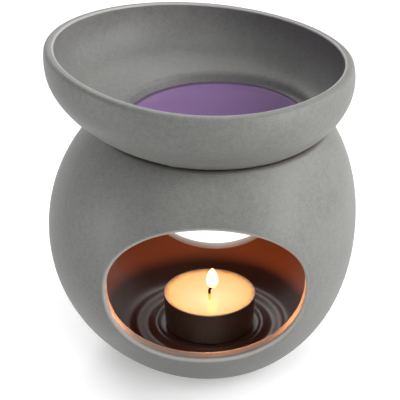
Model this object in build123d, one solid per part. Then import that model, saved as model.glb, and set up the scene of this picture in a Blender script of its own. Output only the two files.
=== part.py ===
# Essential oil burner: a hollow stoneware ball that shelters a tealight, and a loose stoneware dish
# that rests in the ball's open top and holds scented water over the flame.
# Millimetres, +Z up. The origin is on the table, under the middle of the ball's widest section.
# The large front opening faces -Y.

from build123d import *
import math
import os

# Ball: a pebble a little fuller than an ellipsoid, whose level sections drift to the right
ball_radius = 62.05
ball_half_height = 65.5
ball_fullness = 2.07
ball_lean = 2.05
ball_bow = 5.4
ball_wall = 5.3
floor_height = 8.7

# Ball's foot: where the pebble is cut off flat, a ring round a shallow recess
foot_radius = 29.0
foot_ring_width = 7.0
foot_recess_depth = 2.5
foot_edge_round = 1.0

# Mouth: where the dish's underside meets the ball's outside, and the seat cut for it there
mouth_radius = 45.0
mouth_edge_round = 1.0
seat_gap = 0.35

# Front opening, cut straight through along Y: an ellipse above, squarer below.
# A sill is an opening's height above the floor, a headroom its depth below the mouth.
front_centre_x = 1.5
front_half_width = 38.5
front_sill = 15.9
front_headroom = 20.0
front_lower_fullness = 2.45

# Rear opening, a plain ellipse
rear_centre_x = 4.4
rear_half_width = 33.0
rear_sill = 10.8
rear_headroom = 20.2

# Both openings' lips: a larger round outside than inside, with the wall's flat cut between them
lip_outer_round = 1.3
lip_inner_round = 0.8

# Ripple rings in the ball's floor, which keep the tealight in the middle
ripple_clearance = 3.0
ripple_pitch = 8.0
ripple_height = 1.2

# Dish: a flat pebble that swells below its widest section and draws in a little above it
dish_radius = 60.25
dish_lower_depth = 34.1
dish_upper_height = 42.0
dish_lower_fullness = 1.86
dish_upper_fullness = 2.0
dish_offset_x = -0.8
dish_lean = 6.9
dish_bow = 2.2
dish_wall = 3.6
dish_underwall = 2.6
dish_floor = 3.5
dish_base_radius = 25.0

# Dish's rim: higher on the left than on the right, falling to the rear, with a dip at the front
# that is almost straight by the rear
rim_rise = 4.35
rim_fall = 1.8
rim_front_sag = 3.6
rim_front_tilt = 3.3
rim_rear_sag = 0.2
rim_rear_tilt = 4.0
rim_outer_round = 2.0
rim_inner_round = 0.8

# Well in the dish's floor, the sloping shoulder round it, which starts as a ledge, and the water
well_ledge = 4.25
well_depth = 7.5
well_draft = 24.0
well_offset_x = 1.2
well_offset_y = -0.8
well_edge_round = 3.0
shoulder_slope = 23.0
shoulder_blend = 6.0
water_depth = 3.2

# Tealight: a pressed metal cup of wax that stands on the ball's floor
tealight_x = 3.1
cup_radius = 19.0
cup_base_radius = 18.3
cup_height = 14.9
cup_metal = 0.4
cup_corner_round = 1.8
cup_bead_radius = 0.4
wax_drop = 0.6
pool_radius = 17.2
pool_depth = 7.0

# Wick and the pressed disc with a neck that holds it up
sustainer_radius = 6.5
sustainer_metal = 0.3
neck_radius = 1.3
neck_height = 3.2
wick_radius = 0.6
wick_proud = 1.6
wick_hook_radius = 1.6
wick_hook_turn = 65.0

# Flame: a drop of light round the wick's tip
flame_offset_x = 1.1
flame_base_rise = 2.8
flame_radius = 2.45
flame_height = 9.0
flame_belly_low_share = 0.3
flame_belly_high_share = 0.4

# How far a cutting shape runs past what it cuts, and how near counts as touching
overrun = 2.0
touch = 0.01
ring_count = 13


def form_radius(widest, half_height, fullness, rise):
    """Radius of a pebble's level section at a rise above or below its widest section."""
    return widest * math.sqrt(1 - (abs(rise) / half_height) ** fullness)


def form_rise(widest, half_height, fullness, radius):
    """How far from its widest section a pebble has narrowed to a radius."""
    return half_height * (1 - (radius / widest) ** 2) ** (1 / fullness)


def drift(lean, bow, rise, half_height):
    """Sideways drift of a leaning pebble's section: a straight lean plus a bow."""
    return lean * rise / half_height + bow * (rise / half_height) ** 2


def ring_heights(low, high):
    """Heights of a pebble's rings, closer together at both ends, where it curves most."""
    steps = ring_count - 1
    return [low + (high - low) * (1 - math.cos(math.pi * i / steps)) / 2 for i in range(ring_count)]


def ring_stack(heights, radius_at, centre_at):
    """A smooth solid through level circles."""
    return loft([Pos(*centre_at(height), height) * Circle(radius_at(height)) for height in heights])


# Sizes that follow from the ball's and the dish's own
ball_widest_height = form_rise(ball_radius, ball_half_height, ball_fullness, foot_radius)
mouth_rise = form_rise(ball_radius, ball_half_height, ball_fullness, mouth_radius)
mouth_height = ball_widest_height + mouth_rise
crown_rise = form_rise(ball_radius, ball_half_height, ball_fullness, mouth_radius - ball_wall)
crown_height = ball_widest_height + crown_rise
front_low = floor_height + front_sill
front_half_height = (mouth_height - front_headroom - front_low) / 2
rear_low = floor_height + rear_sill
rear_half_height = (mouth_height - rear_headroom - rear_low) / 2
seat_depth = form_rise(dish_radius, dish_lower_depth, dish_lower_fullness, mouth_radius)
dish_widest_height = mouth_height + seat_depth
base_depth = form_rise(dish_radius, dish_lower_depth, dish_lower_fullness, dish_base_radius)
dish_base_height = dish_widest_height - base_depth
bowl_floor_height = dish_base_height + dish_floor
water_height = bowl_floor_height + water_depth
well_top_height = bowl_floor_height + well_depth
rim_drop = dish_radius * math.tan(math.radians(rim_rear_tilt))
dish_top_height = dish_widest_height + rim_rise + rim_front_sag + rim_drop + dish_wall
cup_rim_height = floor_height + cup_height
wax_height = cup_rim_height - wax_drop


def ball_section_radius(height, inset):
    """Radius of the ball's level section, inset from its outside by a wall."""
    rise = height - ball_widest_height
    return form_radius(ball_radius - inset, ball_half_height - inset, ball_fullness, rise)


def ball_centre(height):
    """Centre of the ball's level section."""
    return drift(ball_lean, ball_bow, height - ball_widest_height, ball_half_height), 0


def dish_section_radius(height, side_inset, under_inset):
    """Radius of the dish's level section, inset from its outside by the walls at its side and below."""
    rise = height - dish_widest_height
    widest = dish_radius - side_inset
    if rise < 0:
        return form_radius(widest, dish_lower_depth - under_inset, dish_lower_fullness, rise)
    return form_radius(widest, dish_upper_height - side_inset, dish_upper_fullness, rise)


def dish_centre(height):
    """Centre of the dish's level section."""
    rise = height - dish_widest_height
    return dish_offset_x + drift(-dish_lean, dish_bow, rise, dish_lower_depth), 0


well_radius = dish_section_radius(well_top_height, dish_wall, dish_underwall) - well_ledge
well_floor_radius = well_radius - well_depth * math.tan(math.radians(well_draft))


def dish_form():
    """The whole pebble of the dish, before it is hollowed and its rim is cut."""
    heights = ring_heights(dish_base_height, dish_top_height)
    return ring_stack(heights, lambda height: dish_section_radius(height, 0, 0), dish_centre)


def front_cutter():
    """A bar along -Y with the front opening's outline: an ellipse whose lower half is squarer."""
    outline_steps = 16
    points = []
    for i in range(outline_steps):
        angle = math.pi / 2 + 2 * math.pi * i / outline_steps
        across, up = math.cos(angle), math.sin(angle)
        power = 1 if up > 0 else 2 / front_lower_fullness
        across = math.copysign(abs(across) ** power, across)
        up = math.copysign(abs(up) ** power, up)
        points.append((front_half_width * across, front_half_height * up))
    outline = Pos(front_centre_x, front_low + front_half_height) * make_face(Spline(points, periodic=True))
    return extrude(Plane.XZ * outline, ball_radius + overrun)


def rear_cutter():
    """A bar along +Y with the rear opening's outline."""
    outline = Pos(rear_centre_x, rear_low + rear_half_height) * Ellipse(rear_half_width, rear_half_height)
    return extrude(Plane.XZ * outline, -ball_radius - overrun)


def foot_recess():
    """The shallow recess inside the foot ring, with a rounded roof edge."""
    recess = extrude(Circle(foot_radius - foot_ring_width), foot_recess_depth)
    recess = fillet(recess.edges().group_by(Axis.Z)[-1], foot_recess_depth / 2)
    return Pos(*ball_centre(0)) * recess


def ripple_rings():
    """Two low round-topped rings in the floor, round the tealight."""
    first_crest = cup_radius + ripple_clearance
    start = first_crest - ripple_pitch / 4
    end = first_crest + ripple_pitch * 3 / 2
    wave_points = [
        (start, floor_height),
        (first_crest, floor_height + ripple_height),
        (first_crest + ripple_pitch / 2, floor_height),
        (first_crest + ripple_pitch, floor_height + ripple_height),
        (end, floor_height),
    ]
    wave = Spline(wave_points, tangents=[(1, 0)] * len(wave_points))
    sunk = floor_height - ripple_height
    underside = Polyline((end, floor_height), (end, sunk), (start, sunk), (start, floor_height))
    return Pos(tealight_x) * revolve(Plane.XZ * make_face(wave + underside), Axis.Z)


def lies_on(edge, tool):
    """Whether an edge's middle is on or in a tool, and the edge isn't a tool's own straight seam."""
    return edge.geom_type != GeomType.LINE and tool.distance_to(edge @ 0.5) < touch


def edges_on(solid, tools):
    """The edges that the tools have cut in a solid."""
    return [edge for edge in solid.edges() if any(lies_on(edge, tool) for tool in tools)]


def round_lips(solid, tools, hollow, outer_round, inner_round):
    """Rounds the edges that the tools have cut, with one radius outside and one on the hollow's side."""
    outer = [edge for edge in edges_on(solid, tools) if not lies_on(edge, hollow)]
    solid = fillet(outer, outer_round)
    inner = [edge for edge in edges_on(solid, tools) if lies_on(edge, hollow)]
    return fillet(inner, inner_round)


def burner_body():
    """The stoneware ball: hollow, cut through at the front and rear, and open at the top for the dish."""
    outside = ring_stack(
        ring_heights(0, crown_height), lambda height: ball_section_radius(height, 0), ball_centre
    )
    hollow = ring_stack(
        ring_heights(floor_height, crown_height + overrun),
        lambda height: ball_section_radius(height, ball_wall),
        ball_centre,
    )
    seat = Pos(0, 0, -seat_gap) * dish_form()
    front = front_cutter()
    rear = rear_cutter()
    ball = outside - hollow - seat - front - rear
    ball = round_lips(ball, [front, rear], hollow, lip_outer_round, lip_inner_round)
    ball = fillet(edges_on(ball, [seat]), mouth_edge_round)
    ball = fillet(ball.edges().group_by(Axis.Z)[0], foot_edge_round)
    return ball - foot_recess() + ripple_rings()


def bowl_hollow():
    """The dish's inside: the pebble inset by its wall, over a shoulder that steps down to the well."""
    top = dish_top_height + overrun
    bowl = ring_stack(
        ring_heights(bowl_floor_height, top),
        lambda height: dish_section_radius(height, dish_wall, dish_underwall),
        dish_centre,
    )
    reach = dish_radius + dish_lean + overrun
    shoulder_rise = (reach - well_radius) * math.tan(math.radians(shoulder_slope))
    outline = make_face(
        Polyline(
            (0, bowl_floor_height),
            (well_floor_radius, bowl_floor_height),
            (well_radius, well_top_height),
            (reach, well_top_height + shoulder_rise),
            (reach, top),
            (0, top),
            close=True,
        )
    )
    well_edge = outline.vertices().sort_by_distance((well_radius, well_top_height))[0]
    outline = fillet(well_edge, well_edge_round)
    centre_x, centre_y = dish_centre(water_height)
    step = revolve(Plane.XZ * outline, Axis.Z)
    hollow = bowl & Pos(centre_x + well_offset_x, centre_y + well_offset_y) * step
    low = well_top_height + well_edge_round / 2
    creases = hollow.edges().filter_by_position(Axis.Z, low, dish_widest_height)
    return fillet(creases, shoulder_blend)


def rim_section(forward, sag, tilt):
    """The cut above the rim at one end of the dish, whose underside is a tilted shallow arc."""
    reach = dish_radius + overrun
    drop = reach * math.tan(math.radians(tilt))
    left = (-reach, sag + drop)
    right = (reach, sag - drop)
    rim_line = ThreePointArc(left, (0, 0), right)
    sides = Polyline(right, (reach, dish_upper_height), (-reach, dish_upper_height), left)
    return Plane.XZ.offset(forward) * make_face(rim_line + sides)


def rim_cutter():
    """Everything above the rim: straight lines join the cut at the front to the one at the rear."""
    reach = dish_radius + overrun
    front = rim_section(reach, rim_front_sag, rim_front_tilt)
    rear = rim_section(-reach, rim_rear_sag, rim_rear_tilt)
    block = loft([front, rear], ruled=True)
    return Pos(dish_offset_x, 0, dish_widest_height + rim_rise) * Rot(-rim_fall) * block


def oil_dish():
    """The stoneware dish, whose rim is rounder outside than inside."""
    hollow = bowl_hollow()
    above = rim_cutter()
    dish = dish_form() - hollow - above
    dish = round_lips(dish, [above], hollow, rim_outer_round, rim_inner_round)
    return fillet(dish.edges().group_by(Axis.Z)[0], dish_wall / 2)


def scented_water():
    """The water and oil in the well, up to its level surface."""
    reach = dish_radius + overrun
    below = Pos(0, 0, water_height) * Cylinder(
        reach, water_height, align=(Align.CENTER, Align.CENTER, Align.MAX)
    )
    return bowl_hollow() & below


def cup_outline(inset):
    """Half outline of the tealight's cup, inset by its metal: flat base, round corner and flared side."""
    base = floor_height + inset
    corner = max(cup_corner_round - inset, touch)
    points = [(0, base), (cup_base_radius - inset, base), (cup_radius - inset, cup_rim_height)]
    outline = make_face(Polyline(*points, (0, cup_rim_height), close=True))
    return fillet(outline.vertices().sort_by_distance(points[1])[0], corner)


def turned(outline):
    """A half outline turned about the tealight's axis."""
    return Pos(tealight_x) * revolve(Plane.XZ * outline, Axis.Z)


def tealight_cup():
    """The pressed cup, with a rolled bead round its rim."""
    bead = Pos(cup_radius - cup_bead_radius, cup_rim_height - cup_bead_radius) * Circle(cup_bead_radius)
    return turned(cup_outline(0) - cup_outline(cup_metal)) + turned(bead)


def molten_pool():
    """The pool's whole space: a shallow cap, level on top."""
    floor = wax_height - pool_depth
    edge = ThreePointArc(
        (-pool_radius, wax_height), (0, floor), (pool_radius, wax_height)
    )
    cap = make_face(edge + Line((pool_radius, wax_height), (-pool_radius, wax_height)))
    half = cap & Pos(pool_radius, wax_height) * Rectangle(2 * pool_radius, 2 * cup_height)
    return turned(half)


def wick_core():
    """The wick from the cup's floor to its hooked tip."""
    start = floor_height + cup_metal + sustainer_metal
    bend = wax_height + wick_proud
    turn = math.radians(wick_hook_turn)
    across = wick_hook_radius * (1 - math.cos(turn))
    rise = wick_hook_radius * math.sin(turn)
    straight = Line((0, start), (0, bend))
    hook = TangentArc((0, bend), (across, bend + rise), tangent=(0, 1))
    path = Plane.XZ * (straight + hook)
    section = Pos(0, 0, start) * Circle(wick_radius)
    return Pos(tealight_x) * sweep(section, path)


def wick_sustainer():
    """The disc on the cup's floor and the neck round the wick."""
    base = floor_height + cup_metal
    disc = Pos(0, 0, base) * extrude(Circle(sustainer_radius), sustainer_metal)
    neck = Pos(0, 0, base) * extrude(Circle(neck_radius), neck_height)
    return Pos(tealight_x) * (disc + neck)


def flame():
    """A drop with a short straight belly and a pointed top, round the wick's tip."""
    base = wax_height + flame_base_rise
    belly_low = base + flame_height * flame_belly_low_share
    belly_high = base + flame_height * flame_belly_high_share
    tip = base + flame_height
    lower = Spline((0, base), (flame_radius, belly_low), tangents=[(1, 0), (0, 1)])
    belly = Line((flame_radius, belly_low), (flame_radius, belly_high))
    upper = Spline((flame_radius, belly_high), (0, tip), tangents=[(0, 1), (-1, 3)])
    outline = make_face(lower + belly + upper + Line((0, tip), (0, base)))
    return Pos(flame_offset_x) * turned(outline)


def tealight_pieces():
    """The tealight's pieces, each cut by what stands in it, so that they meet face to face."""
    wick = wick_core()
    sustainer = wick_sustainer()
    pool = molten_pool()
    wax_space = turned(cup_outline(cup_metal)) - Pos(0, 0, wax_height) * Cylinder(
        cup_radius + tealight_x + overrun, cup_height, align=(Align.CENTER, Align.CENTER, Align.MIN)
    )
    cup = tealight_cup()
    return {
        "tealight_cup": cup,
        "tealight_wax": wax_space - cup - pool - sustainer - wick,
        "molten_wax": pool - sustainer - wick,
        "wick_sustainer": sustainer - wick,
        "wick": wick,
        "flame": flame() - wick,
    }


pieces = {"burner_body": burner_body(), "oil_dish": oil_dish(), "scented_water": scented_water()}
pieces.update(tealight_pieces())

os.makedirs("parts", exist_ok=True)
for name, piece in pieces.items():
    export_step(piece, f"parts/{name}.step")
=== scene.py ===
"""An essential oil burner: a stoneware ball, a loose dish of scented water on it, a tealight inside.

Every shape is a surface of two parameters, worked out as whole arrays in millimetres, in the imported
model's own frame: +Z up, the large opening facing -Y, the origin on the table. A turn is an angle
round a level section: 0 faces the front (-Y), a quarter turn faces right (+X).
"""

import logging
import math
from abc import ABC, abstractmethod
from dataclasses import dataclass, field
from enum import Enum
from typing import ClassVar

import bmesh
import bpy
import numpy as np
from numpy.typing import NDArray
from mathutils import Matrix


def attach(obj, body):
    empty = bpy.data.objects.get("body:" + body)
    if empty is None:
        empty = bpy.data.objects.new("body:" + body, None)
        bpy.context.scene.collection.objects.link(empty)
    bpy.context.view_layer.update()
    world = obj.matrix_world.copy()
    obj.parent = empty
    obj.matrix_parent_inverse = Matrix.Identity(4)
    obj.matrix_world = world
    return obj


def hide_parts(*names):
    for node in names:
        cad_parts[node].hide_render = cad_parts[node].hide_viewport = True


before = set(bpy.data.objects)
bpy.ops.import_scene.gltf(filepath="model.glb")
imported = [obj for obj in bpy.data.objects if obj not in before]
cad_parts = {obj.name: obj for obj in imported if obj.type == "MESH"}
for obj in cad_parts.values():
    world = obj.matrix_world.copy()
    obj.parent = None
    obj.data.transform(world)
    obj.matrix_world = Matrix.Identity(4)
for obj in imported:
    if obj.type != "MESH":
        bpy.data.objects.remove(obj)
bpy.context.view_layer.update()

Grid = NDArray[np.float64]
Plan = tuple[float, float]
Sockets = dict[str | int, object]
Stops = tuple[tuple[float, str], ...]

log = logging.getLogger("oil_burner")

MM = 0.001
# Points of two patches that lie this near are welded
WELD_MM = 0.002
# Rows of a rounded edge, where it doesn't ask for fewer
ARC_STEPS = 8
ARC_ROWS = ARC_STEPS + 1


# Shared geometry


def unit(vectors: Grid) -> Grid:
    """Vectors along the last axis, brought to length one."""
    return vectors / np.linalg.norm(vectors, axis=-1, keepdims=True)


def smooth_max(first: Grid, second: Grid, blend: float) -> Grid:
    """The higher of two surfaces, with the crease between them rounded.

    Formula: the larger value, plus a quarter of the blend times the square of how far inside the
    blend the two values are, which falls to nothing where they differ by the whole blend.

    Args:
        first: Heights of one surface.
        second: Heights of the other, on the same grid.
        blend: The difference in height at which the rounding ends, in mm.

    Returns:
        The blended heights.
    """
    nearness = np.clip(1 - np.abs(first - second) / blend, 0, 1)
    return np.maximum(first, second) + nearness**2 * blend / 4


def between(start: Grid, end: Grid, rows: int) -> Grid:
    """Straight rows from one row of points to another, with both ends.

    Args:
        start: The first row, of shape (columns, 3).
        end: The last row.
        rows: How many steps lie between them.

    Returns:
        An array of shape (rows + 1, columns, 3).
    """
    share = np.linspace(0, 1, rows + 1)[:, None, None]
    return (1 - share) * start + share * end


@dataclass
class Round:
    """A rolling ball's touch on the edge between two faces.

    Formula: a ball inside the body touches each face at radius * tan(turn / 2) from the corner,
    where turn is the angle between the faces' outward normals. The arc between the two touching
    points is a rational quadratic with the corner as its middle point and cos(turn / 2) as weight.

    Attributes:
        corner: Points of the sharp edge, of shape (columns, 3).
        normal_a: Outward normals of the first face there.
        normal_b: Outward normals of the second face there.
        radius: The ball's radius in mm.
    """

    corner: Grid
    normal_a: Grid
    normal_b: Grid
    radius: float
    start: Grid = field(init=False)
    end: Grid = field(init=False)
    weight: Grid = field(init=False)

    def __post_init__(self) -> None:
        """Finds the touching points on both faces."""
        cosine = np.sum(self.normal_a * self.normal_b, axis=-1, keepdims=True)
        half_turn = np.arccos(np.clip(cosine, -1, 1)) / 2
        reach = self.radius * np.tan(half_turn)
        self.start = self.corner - reach * unit(self.normal_b - cosine * self.normal_a)
        self.end = self.corner - reach * unit(self.normal_a - cosine * self.normal_b)
        self.weight = np.cos(half_turn)

    def rows(self, steps: int = ARC_STEPS) -> Grid:
        """Rows of the arc, from the first face to the second.

        Args:
            steps: How many steps the arc has.

        Returns:
            An array of shape (steps + 1, columns, 3).
        """
        t = np.linspace(0, 1, steps + 1)[:, None, None]
        first, middle, last = (1 - t) ** 2, 2 * self.weight * t * (1 - t), t**2
        total = first + middle + last
        return (first * self.start + middle * self.corner + last * self.end) / total


@dataclass(frozen=True)
class Pebble:
    """A round form of level circles, whose centre drifts sideways with height.

    Formula: a section's radius is widest * sqrt(1 - (rise / half) ^ fullness), where rise is the
    height above or below the widest section and half is how far the form would reach that way.
    Its centre is offset + lean * t + bow * t^2, where t is the signed rise over the drift span.
    """

    widest: float
    level: float
    lower: float
    upper: float
    lower_fullness: float
    upper_fullness: float
    lean: float
    bow: float
    span: float
    offset: float = 0.0

    def radius(self, height: Grid) -> Grid:
        """Radius of the section at each height.

        Args:
            height: Heights in mm.

        Returns:
            The radii, of the same shape.
        """
        rise = np.asarray(height, float) - self.level
        half = np.where(rise < 0, self.lower, self.upper)
        fullness = np.where(rise < 0, self.lower_fullness, self.upper_fullness)
        return self.widest * np.sqrt(np.clip(1 - (np.abs(rise) / half) ** fullness, 0, 1))

    def centre(self, height: Grid) -> Grid:
        """Sideways place of the section's centre at each height."""
        t = (np.asarray(height, float) - self.level) / self.span
        return self.offset + self.lean * t + self.bow * t**2

    def point(self, turn: Grid, height: Grid) -> Grid:
        """Points on the form at given turns and heights, of shape (..., 3).

        Args:
            turn: Turns, of any shape that broadcasts with the heights.
            height: Heights in mm.

        Returns:
            Points of shape (..., 3).
        """
        turn, height = np.broadcast_arrays(np.asarray(turn, float), np.asarray(height, float))
        radius = self.radius(height)
        x = self.centre(height) + radius * np.sin(turn)
        return np.stack([x, -radius * np.cos(turn), height], axis=-1)

    def normal(self, turn: Grid, height: Grid) -> Grid:
        """Outward normals: the cross product of small steps along the turn and up the form.

        Args:
            turn: Turns of the points.
            height: Their heights in mm.

        Returns:
            Unit normals of shape (..., 3).
        """
        step = 1e-4
        along = self.point(turn + step, height) - self.point(turn - step, height)
        up = self.point(turn, height + step) - self.point(turn, height - step)
        return unit(np.cross(along, up))

    def locate(self, points: Grid) -> tuple[Grid, Grid]:
        """The turns and heights at which points near the form lie on it."""
        height = points[..., 2]
        turn = np.arctan2(points[..., 0] - self.centre(height), -points[..., 1])
        return turn, height

    def underside(self, x: Grid, y: Grid) -> Grid:
        """Height of the form's lower surface over points of the plan.

        Formula: level - lower * (1 - (distance / widest)^2) ^ (1 / fullness), repeated a few times
        because the centre that the distance is measured from depends on the height found.

        Args:
            x: Places along X in mm.
            y: Places along Y in mm.

        Returns:
            The heights, of the same shape.
        """
        passes = 8
        height = np.full(np.broadcast(x, y).shape, self.level - self.lower / 2)
        for _ in range(passes):
            distance = np.hypot(x - self.centre(height), y) / self.widest
            drop = np.clip(1 - distance**2, 0, 1) ** (1 / self.lower_fullness)
            height = self.level - self.lower * drop
        return height


def reach_down(widest: float, half: float, fullness: float, radius: float) -> float:
    """How far from its widest section a pebble has narrowed to a radius.

    Args:
        widest: Radius of the widest section.
        half: How far the form would reach that way.
        fullness: The form's power.
        radius: The radius that is looked for.

    Returns:
        The distance in mm.
    """
    return half * (1 - (radius / widest) ** 2) ** (1 / fullness)


@dataclass
class Patch:
    """A grid of points in mm, how its surface was left and worn, and where highlight and shade are painted
    on it.

    Attributes:
        points: An array of shape (rows, columns, 3), whose last column joins the first.
        wear_and_highlight: How smooth each row is, and how far it is painted pale as a highlight,
            from 0 to 1, or one number for all.
        bare_clay_and_shade: How far each row shows the browned bare clay colour, which is bare clay in
            the chamber and painted shade in the crease under the dish, from 0 to 1, or one number for all.
    """

    points: Grid
    wear_and_highlight: Grid | float = 0.0
    bare_clay_and_shade: Grid | float = 0.0

    def faces(self) -> NDArray[np.int64]:
        """Corner numbers of the patch's four-sided faces."""
        rows, columns = self.points.shape[:2]
        index = np.arange(rows * columns).reshape(rows, columns)
        index = np.column_stack([index, index[:, 0]])
        corners = [index[:-1, :-1], index[1:, :-1], index[1:, 1:], index[:-1, 1:]]
        return np.stack(corners, axis=-1).reshape(-1, 4)

    def per_point(self, value: Grid | float) -> Grid:
        """A value of every row, or one for all, repeated for every point in the points' order."""
        rows, columns = self.points.shape[:2]
        return np.repeat(np.broadcast_to(value, rows), columns)


def arc(x: float, z: float, radius: float, angles: Grid) -> Grid:
    """Points of a profile along an arc: centre + radius * (cos, sin) of each angle."""
    return np.column_stack([x + radius * np.cos(angles), z + radius * np.sin(angles)])


def full_turn(columns: int) -> Grid:
    """Evenly spaced turns, one for each column."""
    return np.arange(columns) * 2 * np.pi / columns


def circles(radius: Grid | float, turns: Grid, centre: Plan, height: Grid | float) -> Grid:
    """Level circles: centre + radius * (sin turn, -cos turn) at a height, over shapes that broadcast.

    Args:
        radius: One radius, or one for each row or point, in mm.
        turns: Turns of the columns.
        centre: Plan place of the circles' axis.
        height: One height, or one for each row or point.

    Returns:
        Points of shape (..., 3).
    """
    x = centre[0] + radius * np.sin(turns)
    y = centre[1] - radius * np.cos(turns)
    return np.stack(np.broadcast_arrays(x, y, height), axis=-1)


def spun(profile: Grid, centre: Plan, turns: Grid) -> Grid:
    """A profile turned about an upright axis.

    Formula: each profile point (radius, height) becomes a level circle about the centre.

    Args:
        profile: Points of shape (rows, 2), in mm.
        centre: Plan place of the axis.
        turns: Turns of the columns.

    Returns:
        An array of shape (rows, columns, 3).
    """
    return circles(profile[:, :1], turns, centre, profile[:, 1:])


def welded_piece(name: str, patches: list[Patch], body: str, node: str) -> bpy.types.Object:
    """One smooth closed mesh from patches that share their border points, carried by a body.

    Args:
        name: The object's name.
        patches: The patches, in any order and with faces turned either way.
        body: The body that the piece moves with.
        node: The solid that it stands for.

    Returns:
        The new object, whose place is in its mesh.
    """
    counts = [patch.points.shape[0] * patch.points.shape[1] for patch in patches]
    starts = np.concatenate([[0], np.cumsum(counts)[:-1]])
    points = np.concatenate([patch.points.reshape(-1, 3) for patch in patches]) * MM
    faces = np.concatenate([patch.faces() + start for patch, start in zip(patches, starts)])
    mesh = bpy.data.meshes.new(name)
    mesh.from_pydata(points.tolist(), [], faces.tolist())
    for kind in ("wear_and_highlight", "bare_clay_and_shade"):
        values = np.concatenate([patch.per_point(getattr(patch, kind)) for patch in patches])
        attribute = mesh.attributes.new(kind, "FLOAT", "POINT")
        attribute.data.foreach_set("value", values.astype(np.float32))
    shell = bmesh.new()
    shell.from_mesh(mesh)
    bmesh.ops.remove_doubles(shell, verts=shell.verts, dist=WELD_MM * MM)
    bmesh.ops.recalc_face_normals(shell, faces=shell.faces)
    shell.to_mesh(mesh)
    shell.free()
    mesh.polygons.foreach_set("use_smooth", np.ones(len(mesh.polygons), bool))
    mesh.update()
    piece = bpy.data.objects.new(name, mesh)
    bpy.context.scene.collection.objects.link(piece)
    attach(piece, body)
    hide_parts(node)
    return piece


def collection_of(name: str, pieces: list[bpy.types.Object]) -> bpy.types.Collection:
    """A collection outside the scene that names what a lamp lights.

    Args:
        name: The collection's name.
        pieces: What the lamp lights.

    Returns:
        The collection.
    """
    collection = bpy.data.collections.new(name)
    for piece in pieces:
        collection.objects.link(piece)
    return collection


# Shared material help


def linear(hex_colour: str) -> tuple[float, float, float, float]:
    """An sRGB hex colour as the linear colour that Blender's sockets hold.

    Args:
        hex_colour: Six hex digits, with or without a leading hash.

    Returns:
        Red, green, blue and a full alpha.
    """
    digits = hex_colour.lstrip("#")
    values = [int(digits[i : i + 2], 16) / 255 for i in (0, 2, 4)]
    curve = [v / 12.92 if v <= 0.04045 else ((v + 0.055) / 1.055) ** 2.4 for v in values]
    return (curve[0], curve[1], curve[2], 1.0)


def per_mm(size: float) -> float:
    """The texture scale at which a pattern on Object coordinates repeats about every size mm."""
    return 1 / (size * MM)


def add_node(
    tree: bpy.types.NodeTree,
    kind: str,
    sockets: Sockets | None = None,
    output: str | int = 0,
    stops: Stops = (),
    **settings: object,
) -> bpy.types.NodeSocket | None:
    """Adds a node, with its settings, socket values and links.

    Args:
        tree: The node tree to add it to.
        kind: The node's type name.
        sockets: Input names or numbers, each with a value or with the output socket that feeds it.
        output: Name or number of the output that is wanted.
        stops: Place and colour of each stop, in order, where the node holds a ramp.
        **settings: Properties of the node itself.

    Returns:
        The wanted output, or None from a node that has no outputs.
    """
    node = tree.nodes.new(kind)
    for name, value in settings.items():
        setattr(node, name, value)
    for name, value in (sockets or {}).items():
        if isinstance(value, bpy.types.NodeSocket):
            tree.links.new(value, node.inputs[name])
        else:
            node.inputs[name].default_value = value
    if stops:
        elements = node.color_ramp.elements
        while len(elements) < len(stops):
            elements.new(1.0)
        for element, (place, colour) in zip(elements, stops):
            element.position = place
            element.color = linear(colour)
    return node.outputs[output] if node.outputs else None


def plan_distance(tree: bpy.types.NodeTree, axis: Plan) -> bpy.types.NodeSocket:
    """Distance from an upright axis in metres, read on Object coordinates.

    Args:
        tree: The node tree.
        axis: Plan place of the axis in mm.

    Returns:
        The distance socket.
    """
    coords = add_node(tree, "ShaderNodeTexCoord", output="Object")
    offset = (axis[0] * MM, axis[1] * MM, 0.0)
    moved = add_node(tree, "ShaderNodeVectorMath", {0: coords, 1: offset}, operation="SUBTRACT")
    flat = add_node(tree, "ShaderNodeVectorMath", {0: moved, 1: (1.0, 1.0, 0.0)}, operation="MULTIPLY")
    return add_node(tree, "ShaderNodeVectorMath", {0: flat}, output="Value", operation="LENGTH")


def seen_by(tree: bpy.types.NodeTree, *rays: str) -> bpy.types.NodeSocket:
    """1 for light paths of the kinds named, and 0 for all others.

    Args:
        tree: The node tree.
        *rays: Names of the light path's outputs.

    Returns:
        The socket that holds the highest of them.
    """
    seen = add_node(tree, "ShaderNodeLightPath", output=rays[0])
    for ray in rays[1:]:
        other = add_node(tree, "ShaderNodeLightPath", output=ray)
        seen = add_node(tree, "ShaderNodeMath", {0: seen, 1: other}, operation="MAXIMUM")
    return seen


# Finishes


class Finish(ABC):
    """What every finish has: a name, and one shader that its own nodes feed."""

    name: ClassVar[str]

    @abstractmethod
    def sockets(self, tree: bpy.types.NodeTree) -> Sockets:
        """Adds the finish's own nodes.

        Args:
            tree: The material's node tree.

        Returns:
            The shader's sockets, each with a value or with the output that feeds it.
        """

    def material(self) -> bpy.types.Material:
        """The finished material."""
        material = bpy.data.materials.new(self.name)
        material.use_nodes = True
        tree = material.node_tree
        tree.nodes.clear()
        shader = add_node(tree, "ShaderNodeBsdfPrincipled", self.sockets(tree))
        add_node(tree, "ShaderNodeOutputMaterial", {"Surface": shader})
        return material


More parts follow.
